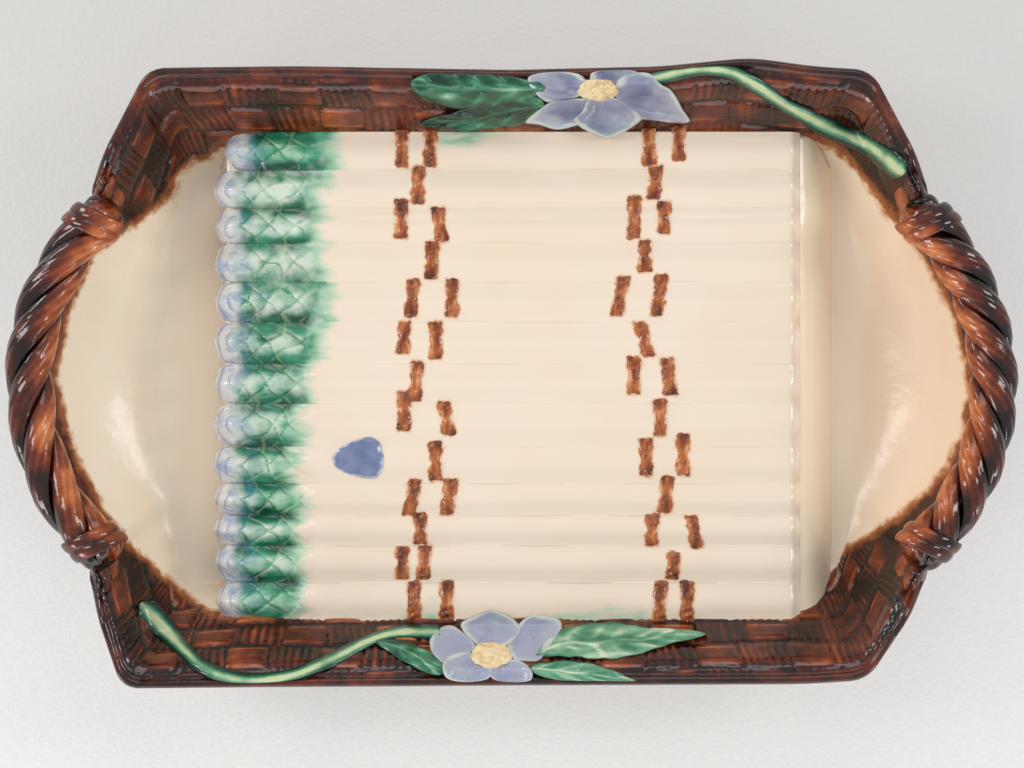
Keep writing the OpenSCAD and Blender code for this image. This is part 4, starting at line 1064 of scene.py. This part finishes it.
def leaf(form, spine, halves, veins, level, pale):
    """A leaf with a raised midrib and veins that run aslant from it."""
    steps, steps_across = 96, 31
    line = smooth_line(spine, steps)
    side = side_of(line)
    t = np.linspace(0, 1, steps)[:, None]
    w = np.linspace(-1, 1, steps_across)[None, :]
    breadths = smooth_line(list(enumerate(halves)), 200)
    half = np.interp(t * (len(halves) - 1), breadths[:, 0], breadths[:, 1])
    half = half * (1 - np.abs(2 * t - 1) ** 18 * 0.8) * (1 + 0.035 * np.sin(t * veins * 2 * math.pi))
    px, py = (line[:, k:k + 1] + side[:, k:k + 1] * half * w for k in (0, 1))
    drift = 0.16 * wobble(px, py, 34, 21)
    rib = bell(w + drift * 0.5, 0.09) * (1 - 0.5 * t)
    phase = t * veins - np.abs(w) * 1.1 + drift
    vein = (0.5 + 0.5 * np.cos(2 * math.pi * phase)) ** 2 * ease(0.02, 0.25, np.abs(w))
    vein = vein * np.clip(0.7 + 0.5 * wobble(px, py, 26, 22), 0.1, 1.2) * (1 - np.abs(w) ** 4)
    swell = 0.7 * (1 - w ** 2) - 1.3 * ease(0.9, 1.0, np.abs(w))
    patch(form, px, py, SPRIG_LIFT + level + swell + 0.5 * rib + vein, rim=np.abs(w), pale=pale,
          raised=np.clip(0.9 * rib + 0.75 * vein + 0.2 * (1 - w ** 2), 0, 1.2))


def vine(name, spine, half, grows, material):
    """A stem that thickens along its spine where grows is 1, and against it where it is -1."""
    steps, steps_across = 150, 15
    line = smooth_line(spine, steps)
    side = side_of(line)
    t = np.linspace(0, 1, steps)[:, None]
    w = np.sin(np.linspace(-1, 1, steps_across)[None, :] * math.pi / 2)
    grown = t if grows > 0 else 1 - t
    breadth = half * (1 + 0.10 * np.sin(t * 21)) * mix(0.85, 1.3, grown ** 3)
    breadth = breadth * (1 - 0.55 * ease(0.975, 1.0, grown))
    px, py = (line[:, k:k + 1] + side[:, k:k + 1] * breadth * w for k in (0, 1))
    # Painted highlight and shade: the crest is painted pale and the flanks dark, partly also the glaze
    # lying thin over the crest.
    crest = np.sqrt(np.clip(1 - w ** 2, 0, 1))
    form = Form()
    patch(form, px, py, SPRIG_LIFT - 2.2 + 3.6 * crest ** 1.6,
          crest=crest ** 4 + 0.12 * wobble(px, py, 60, 31))
    form.make(name, "pale_green_glaze", material)


def petal_material():
    s = Shader("petal_glaze", roughness=0.14)
    rim = s.value("rim") + s.noise(6) * 0.10
    body = s.blend(s.span(s.noise(9, shift=2.2), -0.6, 0.9), LILAC, LILAC_PALE)
    body = s.blend(s.value("pale"), body, "b0b4ca")
    outward = s.value("along") + s.noise(8, shift=5.5) * 0.26
    body = s.blend(s.span(outward, 0.42, 0.88) * 0.88, body, "a8acb4")
    body = s.blend(s.span(rim, 0.35, 0.80) * 0.35, body, "a2a8b8")
    edged = s.blend(s.span(rim, 0.80, 0.98) * 0.85, body, PETAL_RIM)
    return s.finish(edged, bump_mm=0.35, bump_size=6.0, strength=0.35)


def eye_material():
    s = Shader("eye_glaze", roughness=0.2)
    grain = s.noise(2.2) + s.noise(6, 2.0, shift=3.0) * 0.7
    colour = s.blend(s.span(grain, -0.7, 1.1), YELLOW_PALE, "d09c62")
    return s.finish(colour, bump_mm=0.5, bump_size=2.2, strength=0.6)


def leaf_material():
    s = Shader("leaf_glaze", roughness=0.10)
    patchy = s.noise(10, 4.0, stretch=(0.6, 1.3, 1)) * 0.62 + s.value("pale") * 0.30
    colour = s.ramp(s.value("raised") * 0.46 + patchy + 0.08, (0.0, "0c3022"), (0.22, "18543a"),
                    (0.45, "347a5a"), (0.70, "70a482"), (1.0, "cadabc"))
    edge = s.value("rim") + s.noise(5, 2.0) * 0.14
    colour = s.blend(s.span(edge, 0.86, 1.04), colour, "163222")
    return s.finish(colour, bump_mm=0.25, bump_size=4.0)


def vine_material():
    s = Shader("vine_glaze", roughness=0.10)
    # Painted highlight and shade: pale on the crest, dark on the flanks, partly also thin glaze over the
    # crest.
    colour = s.ramp(s.value("crest") + s.noise(6) * 0.16, (0.12, "0e2a1e"), (0.45, "1a583e"),
                    (0.76, "5c9672"), (1.0, "c2d0a0"))
    return s.finish(colour, bump_mm=0.2, bump_size=5.0)


def build_sprigs():
    glazes = petal_material(), eye_material()
    green, stem = leaf_material(), vine_material()
    flower("back_flower", BACK_FLOWER, BACK_PETALS, BACK_EYE, 0.0, *glazes)
    flower("front_flower", FRONT_FLOWER, FRONT_PETALS, FRONT_EYE, 0.55, *glazes)
    for name, leaves in (("back_leaves", BACK_LEAVES), ("front_leaves", FRONT_LEAVES)):
        form = Form()
        for row in leaves:
            leaf(form, *row)
        form.make(name, "green_glaze", green)
    vine("back_vine", BACK_VINE, 9.4, 1, stem)
    vine("front_vine", FRONT_VINE, 8.6, -1, stem)


def build_loose_petal():
    """The petal that lies on the stalks, near their tips."""
    s = Shader("loose_petal_glaze", roughness=0.10)
    rim = s.value("rim") + s.noise(3.5) * 0.12
    body = s.blend(s.span(s.noise(8), -0.7, 0.7), "627292", "8088a8")
    material = s.finish(s.blend(s.span(rim, 0.86, 1.04), body, "c6ccd6"))
    r = np.linspace(0.001, 1, 14)[:, None]
    x, y = place_at(*drawn_in(LOOSE_PETAL_MIDDLE, smooth_line(LOOSE_PETAL, 72), r), STALK_TOP)
    base = stalk_height(stalk_share(y))
    level = mix(STALK_TOP - 0.3, base, ease(0.75, 1.0, r))
    form = Form()
    form.slab(xyz(x, y, level + 0.25 + 0.5 * (1 - r ** 4)), xyz(x, y, base - 0.8), rim=r)
    form.make("loose_petal", "lilac_glaze", material)


# Foot ring
def build_foot():
    s = Shader("bare_clay", roughness=0.75, ior=1.45)
    colour = s.blend(s.span(s.noise(3, 4.0), -0.6, 0.8), "ceba96", "e0d0b2")
    colour = s.blend(s.span(s.noise(18), 0.1, 1.0) * 0.5, colour, "ac926c")
    half_length, half_width, corner, face = 126.0, 80.0, 24.0, 8.0
    steps = 288
    angle = np.linspace(0, 2 * math.pi, steps + 1)[:-1, None]
    inset = np.array([0.0, 0.0, 0.5, 1.6, face - 1.6, face - 0.5, face, face])
    z = np.array([4.9, 1.4, 0.4, 0.0, 0.0, 0.4, 1.4, 4.9])
    points = xyz(np.sign(np.cos(angle)) * (half_length - corner) + (corner - inset) * np.cos(angle),
                 np.sign(np.sin(angle)) * (half_width - corner) + (corner - inset) * np.sin(angle), z)
    form = Form()
    form.add(points, grid_faces(*points.shape[:2], closed_n=True, closed_m=True))
    form.make("foot_ring", "bare_clay", s.finish(colour, bump_mm=0.3, bump_size=1.5, strength=0.4))


# Stage, light and camera
CLOTH_LEVEL = -0.2
CLOTH_REACH = 6000.0
SENSOR_WIDTH = 36.0
# Lamps: place, target's height, size and power
LAMPS = {"left_window": ((-1.15, 0.25, 1.00), 0, (0.35, 0.70), 6.2),
         "right_window": ((1.15, 0.30, 0.90), 0, (0.30, 0.55), 4.5),
         "back_window": ((0.10, 1.20, 1.15), 0, (0.9, 0.5), 3.0),
         "front_screen": ((0.0, -1.30, 0.30), 0.03, (2.2, 0.60), 6.0),
         "left_front_box": ((-0.90, -0.75, 0.34), 0.04, (0.34, 0.30), 2.6),
         "left_back_box": ((-0.90, 0.75, 0.34), 0.04, (0.34, 0.30), 2.6),
         "right_front_box": ((0.85, -0.75, 0.42), 0.04, (0.20, 0.22), 1.2)}


def build_stage():
    mesh = bpy.data.meshes.new("cloth")
    corners = [(-1, -1), (1, -1), (1, 1), (-1, 1)]
    mesh.from_pydata([(x * CLOTH_REACH * MM, y * CLOTH_REACH * MM, CLOTH_LEVEL * MM)
                      for x, y in corners], [], [(0, 1, 2, 3)])
    s = Shader("cloth", roughness=0.9)
    s.feed(s.bsdf.inputs["Specular IOR Level"], 0.1)
    split = s.node("ShaderNodeSeparateXYZ", {"Vector": s.place})
    # Painted light: the cloth is painted darker towards the back and lighter towards the front.
    pale = s.blend(s.span(split.outputs["Y"], 0.16, -0.14), "dbd8d5", "f1efec")
    threads = s.noise(1.5, 1.0, stretch=(0.5, 1.6, 1)) + s.noise(60, 2.0) * 0.5
    colour = s.blend(s.span(threads, -0.6, 0.6) * 0.10, pale, "c4c1be")
    mesh.materials.append(s.finish(colour, bump_mm=0.25, bump_size=1.5, strength=0.4))
    # The photograph's cloth is lit more evenly than the dish: about half of its light is its own
    glow = s.node("ShaderNodeEmission", {"Color": colour, "Strength": 0.95})
    seen = s.math("MULTIPLY", s.node("ShaderNodeLightPath").outputs["Is Camera Ray"], 0.55)
    mixed = s.node("ShaderNodeMixShader", {0: seen, 1: s.bsdf.outputs[0], 2: glow.outputs[0]})
    s.feed(s.tree.nodes["Material Output"].inputs["Surface"], mixed.outputs[0])
    add_object("cloth", mesh)


def build_light():
    world = bpy.data.worlds.new("studio")
    bpy.context.scene.world = world
    world.use_nodes = True
    background = world.node_tree.nodes["Background"]
    background.inputs["Color"].default_value = (0.95, 0.97, 1.0, 1)
    background.inputs["Strength"].default_value = 0.62
    for name, (place, target_height, size, power) in LAMPS.items():
        data = bpy.data.lights.new(name, "AREA")
        data.shape = "RECTANGLE"
        data.size, data.size_y = size
        data.energy = power
        lamp = add_object(name, data)
        lamp.location = place
        lamp.rotation_mode = "QUATERNION"
        way = Vector((0, 0, target_height)) - Vector(place)
        lamp.rotation_quaternion = way.to_track_quat("-Z", "Y")


def build_camera():
    data = bpy.data.cameras.new("camera")
    data.sensor_width = SENSOR_WIDTH
    data.lens = SENSOR_WIDTH * CAMERA_ABOVE_RIM / (2 * VIEW_PIXELS[0] * RIM_SCALE)
    camera = add_object("camera", data)
    camera.location = (VIEW_MIDDLE[0] * MM, VIEW_MIDDLE[1] * MM, CAMERA_HEIGHT * MM)
    camera.rotation_euler = (0, 0, 0)
    bpy.context.scene.camera = camera
    bpy.context.scene.view_settings.view_transform = "Standard"


# The whole
build_camera()
build_light()
build_stage()
build_shell()
STALKS = bed_material()
build_bed(STALKS)
build_ties("left_ties", LEFT_TIES, STALKS)
build_ties("right_ties", RIGHT_TIES, STALKS)
ROPE = rope_material()
for side_name in ("left", "right"):
    for k in range(3):
        strand(side_name, k, ROPE)
    for end_name in ("back", "front"):
        binding(side_name, end_name, ROPE)
build_sprigs()
build_loose_petal()
build_foot()
